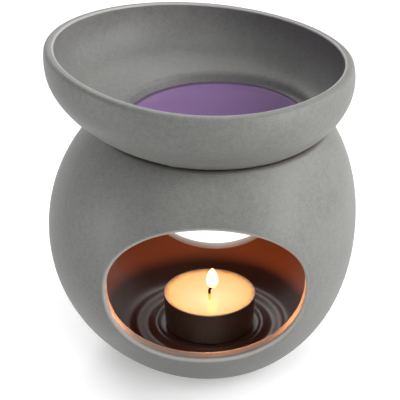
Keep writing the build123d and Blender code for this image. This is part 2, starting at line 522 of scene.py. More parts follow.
@dataclass(frozen=True)
class MatteStoneware(Finish):
    """Stoneware, slip-cast and fired with a thin matte glaze.

    The glaze breaks into fine grit that scatters light, so the eye sees a soft, chalky mid grey with a
    faint speckle and no sharp highlight. Edges where hands rub are smoother, and lips and rim are
    painted pale as a painted highlight. The chamber and the seat are bare clay, which many flames have
    browned, and the crease where the dish rests is darkened with that colour as painted shade. The
    meshes say where, in one attribute for the pale edges and one for the bare clay and shade.
    """

    name = "matte_stoneware"
    glaze: Stops = ((0.36, "#7b7b78"), (0.5, "#8a8a87"), (0.64, "#969693"))
    # The colour of the pale lips and rim is a painted highlight
    wear_and_highlight: str = "#d6d4ce"
    # Bare browned clay; the same colour also paints shade in the crease where the dish rests
    bare_clay_and_shade: str = "#5b3d33"
    # Real grit is about 0.15 mm; it is drawn at 0.45 mm, the finest that shows in the render
    grit_mm: float = 0.45
    mottle_mm: float = 2.4
    cloud_mm: float = 22.0
    mottle_share: float = 0.35
    cloud_share: float = 0.22
    # Marked edges go this much of the way to the pale edge colour, a painted highlight
    highlight_paling: float = 0.8
    roughness: tuple[float, float] = (0.38, 0.5)
    worn_roughness: float = 0.24
    raw_roughness: float = 0.34
    relief_mm: float = 0.12
    # Grit this fine hides part of the glaze's mirror, so it is weaker than the glaze's own
    gloss: float = 0.36

    def sockets(self, tree: bpy.types.NodeTree) -> Sockets:
        """Three sizes of pattern in the glaze, then wear, painted highlight, bare clay and painted shade
        over it.

        Args:
            tree: The material's node tree.

        Returns:
            The shader's sockets.
        """
        coords = add_node(tree, "ShaderNodeTexCoord", output="Object")
        patterns = [(self.grit_mm, 2.0, 0.6), (self.mottle_mm, 3.0, 0.55), (self.cloud_mm, 2.0, 0.5)]
        grit, mottle, cloud = [
            add_node(
                tree,
                "ShaderNodeTexNoise",
                {"Vector": coords, "Scale": per_mm(size), "Detail": detail, "Roughness": fineness},
            )
            for size, detail, fineness in patterns
        ]
        mixed = {"Factor": self.mottle_share, "A": grit, "B": mottle}
        coarse = add_node(tree, "ShaderNodeMix", mixed, data_type="FLOAT")
        mixed = {"Factor": self.cloud_share, "A": coarse, "B": cloud}
        spread = add_node(tree, "ShaderNodeMix", mixed, data_type="FLOAT")
        wear_and_highlight, bare_clay_and_shade = [
            add_node(tree, "ShaderNodeAttribute", output="Fac", attribute_name=kind)
            for kind in ("wear_and_highlight", "bare_clay_and_shade")
        ]
        # The pale edge colour is a painted highlight; the bare clay colour also paints shade in the crease
        # under the dish
        painted_highlight = add_node(tree, "ShaderNodeMath", {0: wear_and_highlight, 1: self.highlight_paling}, operation="MULTIPLY")
        colour = add_node(tree, "ShaderNodeValToRGB", {"Fac": spread}, stops=self.glaze)
        for share, shade in ((painted_highlight, self.wear_and_highlight), (bare_clay_and_shade, self.bare_clay_and_shade)):
            mixed = {"Factor": share, 6: colour, 7: linear(shade)}
            colour = add_node(tree, "ShaderNodeMix", mixed, output=2, data_type="RGBA")
        low, high = self.roughness
        satin = {"Value": mottle, "From Min": 0.3, "From Max": 0.7, "To Min": low, "To Max": high}
        rough = add_node(tree, "ShaderNodeMapRange", satin)
        for share, level in ((wear_and_highlight, self.worn_roughness), (bare_clay_and_shade, self.raw_roughness)):
            mixed = {"Factor": share, "A": rough, "B": level}
            rough = add_node(tree, "ShaderNodeMix", mixed, data_type="FLOAT")
        relief = {"Height": coarse, "Strength": 0.35, "Distance": self.relief_mm * MM}
        return {
            "Base Color": colour,
            "Roughness": rough,
            "Normal": add_node(tree, "ShaderNodeBump", relief),
            "IOR": 1.5,
            "Specular IOR Level": self.gloss,
        }


@dataclass(frozen=True)
class ScentedWater(Finish):
    """Water with a little dyed, scented oil, poured into the well and lying still.

    The eye sees one flat lilac with a clean gloss, a shade deeper towards the middle where the water
    is deepest, and a thin darker line painted at its edge, a painted shade and dark reflection of the
    meniscus.
    """

    name = "scented_water"
    # The dark last stop is painted shade and a painted dark reflection at the water's edge
    lilac: Stops = ((0.0, "#b08dca"), (0.7, "#b993cf"), (0.965, "#b993cf"), (0.99, "#9f84ae"))
    centre: Plan = (6.4, -0.8)
    radius_mm: float = 36.7
    swirl_mm: float = 14.0
    roughness: tuple[float, float] = (0.04, 0.1)

    def sockets(self, tree: bpy.types.NodeTree) -> Sockets:
        """Colour by distance from the middle, and oil that swirls on the top.

        Args:
            tree: The material's node tree.

        Returns:
            The shader's sockets.
        """
        span = {"Value": plan_distance(tree, self.centre), "From Min": 0.0, "From Max": self.radius_mm * MM}
        share = add_node(tree, "ShaderNodeMapRange", span)
        coords = add_node(tree, "ShaderNodeTexCoord", output="Object")
        swirl = add_node(
            tree,
            "ShaderNodeTexNoise",
            {"Vector": coords, "Scale": per_mm(self.swirl_mm), "Detail": 2.0, "Distortion": 1.2},
        )
        low, high = self.roughness
        oily = {"Value": swirl, "From Min": 0.35, "From Max": 0.65, "To Min": low, "To Max": high}
        return {
            "Base Color": add_node(tree, "ShaderNodeValToRGB", {"Fac": share}, stops=self.lilac),
            "Roughness": add_node(tree, "ShaderNodeMapRange", oily),
            "IOR": 1.34,
        }


@dataclass(frozen=True)
class PressedAluminium(Finish):
    """Aluminium foil stock, drawn into a cup by a press.

    The eye sees thin bright metal that takes its colour from what surrounds it, with a fine upright
    drag from the press and small soft wrinkles.
    """

    name = "pressed_aluminium"
    metal: Stops = ((0.35, "#bab4a8"), (0.65, "#c2bcb0"))
    wrinkle_mm: float = 2.4
    drag_mm: float = 0.7
    # The press pulls every mark out along the cup's height
    pull: float = 0.08
    roughness: tuple[float, float] = (0.36, 0.42)
    relief_mm: float = 0.1

    def sockets(self, tree: bpy.types.NodeTree) -> Sockets:
        """Drag marks in colour and roughness, wrinkles in the relief.

        Args:
            tree: The material's node tree.

        Returns:
            The shader's sockets.
        """
        coords = add_node(tree, "ShaderNodeTexCoord", output="Object")
        pulled = add_node(tree, "ShaderNodeMapping", {"Vector": coords, "Scale": (1.0, 1.0, self.pull)})
        drag, wrinkle = [
            add_node(
                tree, "ShaderNodeTexNoise", {"Vector": pulled, "Scale": per_mm(size), "Detail": detail}
            )
            for size, detail in ((self.drag_mm, 3.0), (self.wrinkle_mm, 2.0))
        ]
        low, high = self.roughness
        dragged = {"Value": drag, "From Min": 0.3, "From Max": 0.7, "To Min": low, "To Max": high}
        relief = {"Height": wrinkle, "Strength": 0.25, "Distance": self.relief_mm * MM}
        return {
            "Base Color": add_node(tree, "ShaderNodeValToRGB", {"Fac": drag}, stops=self.metal),
            "Metallic": 1.0,
            "Roughness": add_node(tree, "ShaderNodeMapRange", dragged),
            "Normal": add_node(tree, "ShaderNodeBump", relief),
        }


@dataclass(frozen=True)
class LitWax(Finish):
    """Paraffin wax, poured into its cup and lit through by the flame standing in it.

    The eye sees light inside the wax: almost white round the wick, warm cream further out and deep
    gold at the rim, over faint clouds of softer and firmer wax.
    """

    axis: Plan
    name = "lit_wax"
    radius_mm: float = 18.6
    # The glow and its colour ramp are painted light, standing in for the flame's light scattered in the wax
    glow: float = 0.77
    stops: Stops = (
        (0.0, "#ffeecb"),
        (0.3, "#ffe0b2"),
        (0.62, "#fbcf9b"),
        (0.88, "#f5bf7e"),
        (0.96, "#ecb266"),
        (1.0, "#bd7a38"),
    )
    cloud_mm: float = 4.0
    # How far a cloud moves the colours, as a share of the radius
    cloud_shift: float = 0.16
    relief_mm: float = 0.2

    def sockets(self, tree: bpy.types.NodeTree) -> Sockets:
        """Glow and colour by distance from the wick, moved about by clouds.

        Args:
            tree: The material's node tree.

        Returns:
            The shader's sockets.
        """
        span = {"Value": plan_distance(tree, self.axis), "From Min": 0.0, "From Max": self.radius_mm * MM}
        share = add_node(tree, "ShaderNodeMapRange", span)
        coords = add_node(tree, "ShaderNodeTexCoord", output="Object")
        clouds = {"Vector": coords, "Scale": per_mm(self.cloud_mm), "Detail": 3.0}
        cloud = add_node(tree, "ShaderNodeTexNoise", clouds)
        shift = {0: cloud, 1: self.cloud_shift, 2: share}
        shifted = add_node(tree, "ShaderNodeMath", shift, operation="MULTIPLY_ADD")
        middle = {0: shifted, 1: self.cloud_shift / 2}
        settled = add_node(tree, "ShaderNodeMath", middle, operation="SUBTRACT")
        colour = add_node(tree, "ShaderNodeValToRGB", {"Fac": settled}, stops=self.stops)
        relief = {"Height": cloud, "Strength": 0.2, "Distance": self.relief_mm * MM}
        return {
            "Base Color": colour,
            "Roughness": 0.4,
            "IOR": 1.44,
            "Normal": add_node(tree, "ShaderNodeBump", relief),
            "Emission Color": colour,
            "Emission Strength": self.glow,
        }


@dataclass(frozen=True)
class MoltenWax(Finish):
    """Molten paraffin, a clear pool that the flame keeps liquid.

    The eye sees the lit wax below it through a clear, still, glossy surface.
    """

    name = "molten_wax"
    tint: Stops = ((0.3, "#fff6e2"), (0.7, "#ffefcf"))
    ripple_mm: float = 7.0
    relief_mm: float = 0.2

    def sockets(self, tree: bpy.types.NodeTree) -> Sockets:
        """Clear, with a slow ripple in tint and relief.

        Args:
            tree: The material's node tree.

        Returns:
            The shader's sockets.
        """
        coords = add_node(tree, "ShaderNodeTexCoord", output="Object")
        ripples = {"Vector": coords, "Scale": per_mm(self.ripple_mm), "Detail": 1.0}
        ripple = add_node(tree, "ShaderNodeTexNoise", ripples)
        relief = {"Height": ripple, "Strength": 0.15, "Distance": self.relief_mm * MM}
        return {
            "Base Color": add_node(tree, "ShaderNodeValToRGB", {"Fac": ripple}, stops=self.tint),
            "Roughness": 0.02,
            "IOR": 1.44,
            "Transmission Weight": 1.0,
            "Normal": add_node(tree, "ShaderNodeBump", relief),
        }


@dataclass(frozen=True)
class BraidedCotton(Finish):
    """Cotton, braided into a wick and burnt at its end.

    The eye sees a cord that glows yellow where the lit pool surrounds it and turns to black, crumbly
    char above the surface, with the slant of the braid on it.
    """

    pool_height: float
    name = "braided_cotton"
    stops: Stops = ((0.0, "#f2c34e"), (0.55, "#c98a2a"), (0.75, "#3a2412"), (1.0, "#0d0906"))
    # The charring runs from this far under the pool's surface to this far over it
    char_under: float = 1.6
    char_over: float = 0.9
    # The glow and the yellow stop are painted light, standing in for the lit pool's light on the cord
    glow: float = 0.75
    # A real braid repeats in 2 or 3 mm; it is drawn coarser, so that it shows on a cord this thin
    braid_mm: float = 6.28
    relief_mm: float = 0.15

    def sockets(self, tree: bpy.types.NodeTree) -> Sockets:
        """Colour and glow by height, and the braid in the relief.

        Args:
            tree: The material's node tree.

        Returns:
            The shader's sockets.
        """
        coords = add_node(tree, "ShaderNodeTexCoord", output="Object")
        height = add_node(tree, "ShaderNodeSeparateXYZ", {"Vector": coords}, output="Z")
        low, high = self.pool_height - self.char_under, self.pool_height + self.char_over
        charred = {"Value": height, "From Min": low * MM, "From Max": high * MM}
        burnt = add_node(tree, "ShaderNodeMapRange", charred)
        colour = add_node(tree, "ShaderNodeValToRGB", {"Fac": burnt}, stops=self.stops)
        fading = {"Value": burnt, "From Min": 0.3, "From Max": 0.8, "To Min": self.glow, "To Max": 0.0}
        # A diagonal wave turns by ten radians per unit of its scaled coordinates' sum
        scale = 2 * math.pi * per_mm(self.braid_mm) / 10
        waves = {"Vector": coords, "Scale": scale, "Distortion": 3.0}
        braid = add_node(tree, "ShaderNodeTexWave", waves, output="Fac", bands_direction="DIAGONAL")
        relief = {"Height": braid, "Strength": 0.7, "Distance": self.relief_mm * MM}
        return {
            "Base Color": colour,
            "Roughness": 0.9,
            "Normal": add_node(tree, "ShaderNodeBump", relief),
            "Emission Color": colour,
            "Emission Strength": add_node(tree, "ShaderNodeMapRange", fading),
        }


@dataclass(frozen=True)
class TinnedSteel(Finish):
    """Thin tinned steel, stamped into a disc with a neck.

    The eye sees a dull bright metal with round tool marks from the stamp.
    """

    axis: Plan
    name = "tinned_steel"
    metal: Stops = ((0.0, "#a9a69f"), (1.0, "#c2bfb8"))
    mark_mm: float = 0.8
    roughness: tuple[float, float] = (0.28, 0.42)

    def sockets(self, tree: bpy.types.NodeTree) -> Sockets:
        """Rings of tool marks in colour and roughness.

        Args:
            tree: The material's node tree.

        Returns:
            The shader's sockets.
        """
        turning = {0: plan_distance(tree, self.axis), 1: 2 * math.pi * per_mm(self.mark_mm)}
        rings = add_node(tree, "ShaderNodeMath", turning, operation="MULTIPLY")
        marks = add_node(tree, "ShaderNodeMath", {0: rings}, operation="SINE")
        low, high = self.roughness
        marked = {"Value": marks, "From Min": -1.0, "From Max": 1.0, "To Min": low, "To Max": high}
        return {
            "Base Color": add_node(tree, "ShaderNodeValToRGB", {"Fac": marks}, stops=self.metal),
            "Metallic": 1.0,
            "Roughness": add_node(tree, "ShaderNodeMapRange", marked),
        }


@dataclass(frozen=True)
class FlameLight(Finish):
    """A candle flame, glowing soot in rising gas.

    The eye sees a white-hot drop, too bright for its own orange to show, and a little dimmer and
    paler at its root.
    """

    base_height: float
    length_mm: float
    name = "flame_light"
    stops: Stops = ((0.0, "#ffb878"), (0.3, "#ffab66"), (1.0, "#ffab66"))
    strength: float = 8.0
    # The root glows at this share of the full strength, which is reached this share of the way up
    root_share: float = 0.25
    full_from: float = 0.35

    def sockets(self, tree: bpy.types.NodeTree) -> Sockets:
        """Glow and its colour by height.

        Args:
            tree: The material's node tree.

        Returns:
            The shader's sockets.
        """
        coords = add_node(tree, "ShaderNodeTexCoord", output="Object")
        height = add_node(tree, "ShaderNodeSeparateXYZ", {"Vector": coords}, output="Z")
        tip = self.base_height + self.length_mm
        span = {"Value": height, "From Min": self.base_height * MM, "From Max": tip * MM}
        share = add_node(tree, "ShaderNodeMapRange", span)
        rising = {
            "Value": share,
            "From Min": 0.0,
            "From Max": self.full_from,
            "To Min": self.strength * self.root_share,
            "To Max": self.strength,
        }
        return {
            "Base Color": linear("#000000"),
            "Roughness": 1.0,
            "Specular IOR Level": 0.0,
            "Emission Color": add_node(tree, "ShaderNodeValToRGB", {"Fac": share}, stops=self.stops),
            "Emission Strength": add_node(tree, "ShaderNodeMapRange", rising),
        }


@dataclass(frozen=True)
class WhiteLaminate(Finish):
    """White laminate, the smooth hard top of the table.

    The eye sees it near white with a faint mirror. It glows a little to the camera and to mirrors, and
    is a pale grey to other light, so that it throws less back on the object.
    """

    name = "white_laminate"
    seen: str = "#f2f2f2"
    unseen: str = "#b4b4b4"
    glow: float = 0.36

    def sockets(self, tree: bpy.types.NodeTree) -> Sockets:
        """Colour and glow by the kind of light path.

        Args:
            tree: The material's node tree.

        Returns:
            The shader's sockets.
        """
        shades = {"Factor": seen_by(tree, "Is Camera Ray"), 6: linear(self.unseen), 7: linear(self.seen)}
        shown = {0: seen_by(tree, "Is Camera Ray", "Is Glossy Ray"), 1: self.glow}
        return {
            "Base Color": add_node(tree, "ShaderNodeMix", shades, output=2, data_type="RGBA"),
            "Roughness": 0.12,
            "IOR": 1.5,
            "Emission Color": linear("#ffffff"),
            "Emission Strength": add_node(tree, "ShaderNodeMath", shown, operation="MULTIPLY"),
        }


# Stoneware ball


class Side(Enum):
    """Which way an opening of the ball faces."""

    FRONT = "front"
    REAR = "rear"


@dataclass(frozen=True)
class Opening:
    """An opening cut straight through the ball's wall along Y.

    Formula of the outline: (half width * cos^p, half height * sin^p) about the centre, with p = 1
    above, which is an ellipse, and p = 2 / lower fullness below, which is squarer.
    """

    side: Side
    centre_x: float
    half_width: float
    low: float
    high: float
    lower_fullness: float

    def outline(self, up: int, across: int) -> tuple[Grid, Grid]:
        """Points and inward normals of the outline, evenly spaced between its four corners.

        Args:
            up: How many points lie on each upright quarter.
            across: How many lie on each level quarter.

        Returns:
            Points (x, z) and unit normals (x, z), each of shape (2 * up + 2 * across, 2), starting at
            the lower right and running up the right side first.
        """
        # Points of each quarter that lengths are summed over, and how far aside a normal looks, in mm
        dense, aside = 1000, 0.3
        angle = np.linspace(-np.pi / 4, 7 * np.pi / 4, 4 * dense + 1)
        cosine, sine = np.cos(angle), np.sin(angle)
        power = np.where(sine > 0, 1.0, 2 / self.lower_fullness)
        half_height = (self.high - self.low) / 2
        x = self.centre_x + self.half_width * np.copysign(np.abs(cosine) ** power, cosine)
        z = self.low + half_height * (1 + np.copysign(np.abs(sine) ** power, sine))
        length = np.concatenate([[0], np.cumsum(np.hypot(np.diff(x), np.diff(z)))])
        corners = length[::dense]
        counts = [up, across, up, across]
        wanted = np.concatenate(
            [np.linspace(corners[i], corners[i + 1], counts[i], endpoint=False) for i in range(4)]
        )
        points = np.stack([np.interp(wanted, length, x), np.interp(wanted, length, z)], axis=-1)
        run_x, run_z = [
            np.interp(wanted + aside, length, values, period=length[-1])
            - np.interp(wanted - aside, length, values, period=length[-1])
            for values in (x, z)
        ]
        return points, unit(np.stack([-run_z, run_x], axis=-1))


@dataclass
class StonewareBall:
    """The ball: outer and inner shell, two rounded openings, the dish's seat, foot and rippled floor."""

    radius: float = 62.05
    half_height: float = 65.5
    fullness: float = 2.07
    lean: float = 2.05
    bow: float = 5.4
    wall: float = 5.3
    floor_height: float = 8.7
    foot_radius: float = 29.0
    foot_ring_width: float = 7.0
    foot_recess: float = 2.5
    foot_round: float = 1.0
    ring_round: float = 0.4
    mouth_radius: float = 45.0
    mouth_round: float = 1.0
    groove_round: float = 2.4
    seat_gap: float = 0.03
    lip_outer_round: float = 1.3
    lip_inner_round: float = 0.8
    # How smooth the front lip is on its outer and on its inner round, and how pale it is painted there as a
    # highlight
    lip_wear_and_highlight: tuple[float, float] = (0.8, 0.35)
    front_x: float = 1.5
    front_half_width: float = 38.5
    front_sill: float = 15.9
    front_headroom: float = 20.0
    front_fullness: float = 2.45
    rear_x: float = 4.4
    rear_half_width: float = 33.0
    rear_sill: float = 10.8
    rear_headroom: float = 20.2
    rear_fullness: float = 2.0
    tealight_x: float = 3.1
    first_crest: float = 22.0
    ripple_pitch: float = 8.0
    ripple_height: float = 1.2
    floor_start: float = 14.0
    crease: float = 2.5
    up: int = 44
    across: int = 72
    rows: int = 24
    floor_rows: int = 84
    # Above 1, the rows of a half lie closer together near its opening's lip
    crowding: float = 1.6
    outside: Pebble = field(init=False)
    inside: Pebble = field(init=False)
    mouth_height: float = field(init=False)

    def __post_init__(self) -> None:
        """Works out the two shells and the mouth's height."""
        level = reach_down(self.radius, self.half_height, self.fullness, self.foot_radius)
        self.mouth_height = level + reach_down(
            self.radius, self.half_height, self.fullness, self.mouth_radius
        )
        self.outside = self.shell(level, 0.0)
        self.inside = self.shell(level, self.wall)

    def shell(self, level: float, inset: float) -> Pebble:
        """The ball's form, inset by a wall.

        Args:
            level: Height of the widest section.
            inset: How far inside the ball's surface it lies, in mm.

        Returns:
            The form.
        """
        half = self.half_height - inset
        return Pebble(
            self.radius - inset,
            level,
            half,
            half,
            self.fullness,
            self.fullness,
            self.lean,
            self.bow,
            self.half_height,
        )

    def openings(self) -> list[Opening]:
        """The front and the rear opening."""
        front = Opening(
            Side.FRONT,
            self.front_x,
            self.front_half_width,
            self.floor_height + self.front_sill,
            self.mouth_height - self.front_headroom,
            self.front_fullness,
        )
        rear = Opening(
            Side.REAR,
            self.rear_x,
            self.rear_half_width,
            self.floor_height + self.rear_sill,
            self.mouth_height - self.rear_headroom,
            self.rear_fullness,
        )
        return [front, rear]

    def ring_turns(self) -> Grid:
        """Turns of the columns round every full ring."""
        return np.pi / 2 - np.pi * np.arange(2 * self.across) / self.across

    def seat_edge(self, shell: Pebble, dish: Pebble, facing: float, turns: Grid) -> Round:
        """The rounded edge between a shell and the dish's seat.

        Formula: at each turn the height at which the shell's distance from the dish's axis equals the
        dish's own radius, found by halving an interval.

        Args:
            shell: The outer or the inner shell.
            dish: The dish's outer form.
            facing: 1 where the shell's outward side is the clay's, -1 for the inner shell.
            turns: Turns to work it out at.

        Returns:
            The round, from the shell to the seat.
        """
        halvings = 40
        low = np.full(turns.shape, self.outside.level + self.half_height / 2)
        high = np.full(turns.shape, shell.level + shell.upper - WELD_MM)
        for _ in range(halvings):
            middle = (low + high) / 2
            point = shell.point(turns, middle)
            above = middle + self.seat_gap
            beyond = np.hypot(point[:, 0] - dish.centre(above), point[:, 1]) > dish.radius(above)
            low, high = np.where(beyond, middle, low), np.where(beyond, high, middle)
        corner = shell.point(turns, low)
        dish_turns = np.arctan2(corner[:, 0] - dish.centre(low + self.seat_gap), -corner[:, 1])
        seat_normal = -dish.normal(dish_turns, low + self.seat_gap)
        seat_round = self.groove_round if facing > 0 else self.mouth_round
        return Round(corner, facing * shell.normal(turns, low), seat_normal, seat_round)

    def foot_edge(self, turns: Grid) -> Round:
        """The rounded edge between the outer shell and the table.

        Args:
            turns: Turns to work it out at.

        Returns:
            The round, from the shell to the table.
        """
        ground = np.zeros(turns.shape)
        down = np.tile([0.0, 0.0, -1.0], (len(turns), 1))
        corner = self.outside.point(turns, ground)
        return Round(corner, self.outside.normal(turns, ground), down, self.foot_round)

    def half_shell(
        self, shell: Pebble, opening: Opening, facing: float, dish: Pebble
    ) -> tuple[Patch, Round]:
        """Half of a shell, from an opening's lip out to the seams, the floor and the mouth.

        Formula: in the plane of turn and height, straight rows run from the lip's curve to the
        rectangle that bounds the half, and every point of them is put on the shell.

        Args:
            shell: The outer or the inner shell.
            opening: The opening in this half.
            facing: 1 for the outer shell, -1 for the inner one.
            dish: The dish's outer form, which the seat follows.

        Returns:
            The patch, and the lip's round from the shell to the opening's wall.
        """
        outline, inward = opening.outline(self.up, self.across)
        swing = np.arcsin((outline[:, 0] - shell.centre(outline[:, 1])) / shell.radius(outline[:, 1]))
        front = opening.side is Side.FRONT
        turns = swing if front else np.pi - swing
        corner = shell.point(turns, outline[:, 1])
        wall_normal = np.stack([inward[:, 0], np.zeros(len(inward)), inward[:, 1]], axis=-1)
        lip_round = self.lip_outer_round if facing > 0 else self.lip_inner_round
        lip = Round(corner, facing * shell.normal(turns, outline[:, 1]), wall_normal, lip_round)
        lip_turns, lip_heights = shell.locate(lip.start)
        if not front:
            lip_turns = np.mod(lip_turns, 2 * np.pi)
        lip.start = shell.point(lip_turns, lip_heights)
        right, left = (np.pi / 2, -np.pi / 2) if front else (np.pi / 2, 3 * np.pi / 2)
        climb, sweep = np.arange(self.up) / self.up, np.arange(self.across) / self.across
        border_turns = np.concatenate(
            [
                np.full(self.up, right),
                right + (left - right) * sweep,
                np.full(self.up, left),
                left + (right - left) * sweep,
            ]
        )
        share = np.concatenate([climb, np.ones(self.across), 1 - climb, np.zeros(self.across)])
        bottom = np.full(border_turns.shape, self.floor_start)
        if facing > 0:
            bottom = self.foot_edge(border_turns).start[:, 2]
        top = self.seat_edge(shell, dish, facing, border_turns).start[:, 2]
        border_heights = bottom + (top - bottom) * share
        out = np.linspace(0, 1, self.rows + 1)[:, None] ** self.crowding
        grid = shell.point(
            (1 - out) * lip_turns + out * border_turns, (1 - out) * lip_heights + out * border_heights
        )
        return Patch(grid, bare_clay_and_shade=0.0 if facing > 0 else 1.0), lip

    def lip_patch(self, side: Side, outer: Round, inner: Round) -> Patch:
        """The lip of an opening: two rounds with the straight wall between them.

        The front lip is smoother and painted pale along its outer round and a little along its inner one,
        and so is the rear lip from its outer round on, half way in; the paleness is a painted highlight.
        Both are browned a little on the wall between and wholly where they meet the chamber.

        Args:
            side: Which opening the lip belongs to.
            outer: The round at the outer shell.
            inner: The round at the inner shell.

        Returns:
            The patch.
        """
        wall = between(outer.end, inner.end, 4)[1:-1]
        rows = np.concatenate([outer.rows(), wall, inner.rows()[::-1]])
        hump = np.sin(np.linspace(0, np.pi, ARC_ROWS))
        # Where these rows are high the lip is painted pale as a highlight, and its glaze is smoother
        rubbed_and_highlit = [self.lip_wear_and_highlight[0] * hump**2, np.zeros(len(wall)), self.lip_wear_and_highlight[1] * hump]
        if side is Side.REAR:
            rubbed_and_highlit = [np.ones(ARC_ROWS), np.linspace(0.8, 0.2, len(wall)), np.zeros(ARC_ROWS)]
        last = np.array([0.3, 0.7, 1.0])
        browned_and_shaded = [
            np.zeros(ARC_ROWS),
            np.linspace(0.25, 0.3, len(wall)),
            np.linspace(0.2, 0.0, ARC_ROWS - len(last)),
            last,
        ]
        return Patch(rows, wear_and_highlight=np.concatenate(rubbed_and_highlit), bare_clay_and_shade=np.concatenate(browned_and_shaded))

    def mouth_patch(self, outer: Round, inner: Round, dish: Pebble) -> Patch:
        """The seat between its two rounded edges, at the dish's underside less the gap.

        The colour darkens to bare clay over the outer round, as painted shade in the crease where the dish
        rests.

        Args:
            outer: The round at the outer shell.
            inner: The round at the inner shell.
            dish: The dish's outer form.

        Returns:
            The patch.
        """
        seat = between(outer.end, inner.end, 8)[1:-1]
        seat[..., 2] = dish.underside(seat[..., 0], seat[..., 1]) - self.seat_gap
        outer_rows, inner_rows = outer.rows(6), inner.rows(6)[::-1]
        # Darkening over the outer round is painted shade; the seat under the dish is bare clay
        browned_and_shaded = [np.linspace(0, 1, len(outer_rows)), np.ones(len(seat) + len(inner_rows))]
        return Patch(np.concatenate([outer_rows, seat, inner_rows]), bare_clay_and_shade=np.concatenate(browned_and_shaded))

    def foot_patch(self, edge: Round, turns: Grid) -> Patch:
        """The foot ring, and the shallow recess inside it up to its middle.

        Args:
            edge: The round between the shell and the table.
            turns: Turns of the columns.

        Returns:
            The patch.
        """
        centre = (float(self.outside.centre(0.0)), 0.0)
        inner_radius, roof = self.foot_radius - self.foot_ring_width, self.foot_recess
        small, large = self.ring_round, self.foot_recess / 2
        bend = np.linspace(0, np.pi / 2, 5)
        lower = arc(inner_radius + small, small, small, -np.pi / 2 - bend)
        upper = arc(inner_radius - large, roof - large, large, bend)
        inward = [((inner_radius - large) * share, roof) for share in (0.8, 0.6, 0.4, 0.2, 0.0)]
        recess = spun(np.concatenate([lower, upper, inward]), centre, turns)
        return Patch(np.concatenate([edge.rows(4), recess]))

    def floor_patch(self, turns: Grid) -> Patch:
        """The floor: the wall's lower end, blended into a flat with ripples round the tealight.

        Formula: the higher of the inner shell and the flat, with their crease rounded. A ripple adds
        half its height times (1 - cos) of the distance from the tealight's axis over the pitch.

        Args:
            turns: Turns of the columns.

        Returns:
            The patch.
        """
        start = self.inside.point(turns, np.full(turns.shape, self.floor_start))
        middle = np.tile([self.tealight_x, 0.0, 0.0], (len(turns), 1))
        rows = between(start, middle, self.floor_rows)
        x, y = rows[..., 0], rows[..., 1]
        distance = np.hypot(x - self.tealight_x, y)
        phase = (distance - self.first_crest + self.ripple_pitch / 2) / self.ripple_pitch
        begin = self.first_crest - self.ripple_pitch / 4
        end = self.first_crest + self.ripple_pitch * 3 / 2
        wave = self.ripple_height / 2 * (1 - np.cos(2 * np.pi * phase))
        # Inside the first crest the ripple rises over a quarter pitch only, from the tealight's flat
        rise = np.clip((distance - begin) / (self.first_crest - begin), 0, 1)
        wave = np.where(distance < self.first_crest, self.ripple_height * (3 - 2 * rise) * rise**2, wave)
        wave = np.where(distance > end, 0.0, wave)
        flat = self.floor_height + wave
        rows[..., 2] = smooth_max(self.inside.underside(x, y), flat, self.crease)
        return Patch(rows, bare_clay_and_shade=1.0)

    def build(self, dish: Pebble) -> bpy.types.Object:
        """Builds the ball as one closed mesh.

        Args:
            dish: The dish's outer form, which the seat follows.

        Returns:
            The ball.
        """
        turns = self.ring_turns()
        patches = []
        for opening in self.openings():
            outer_half, outer_lip = self.half_shell(self.outside, opening, 1.0, dish)
            inner_half, inner_lip = self.half_shell(self.inside, opening, -1.0, dish)
            patches += [outer_half, inner_half, self.lip_patch(opening.side, outer_lip, inner_lip)]
        seat_outer = self.seat_edge(self.outside, dish, 1.0, turns)
        seat_inner = self.seat_edge(self.inside, dish, -1.0, turns)
        foot = self.foot_edge(turns)
        for edge, shell in ((seat_outer, self.outside), (seat_inner, self.inside), (foot, self.outside)):
            edge.start = shell.point(turns, edge.start[:, 2])
        patches.append(self.mouth_patch(seat_outer, seat_inner, dish))
        patches.append(self.foot_patch(foot, turns))
        patches.append(self.floor_patch(turns))
        return welded_piece("stoneware_ball", patches, "burner", "burner_body")


# Dish and its water


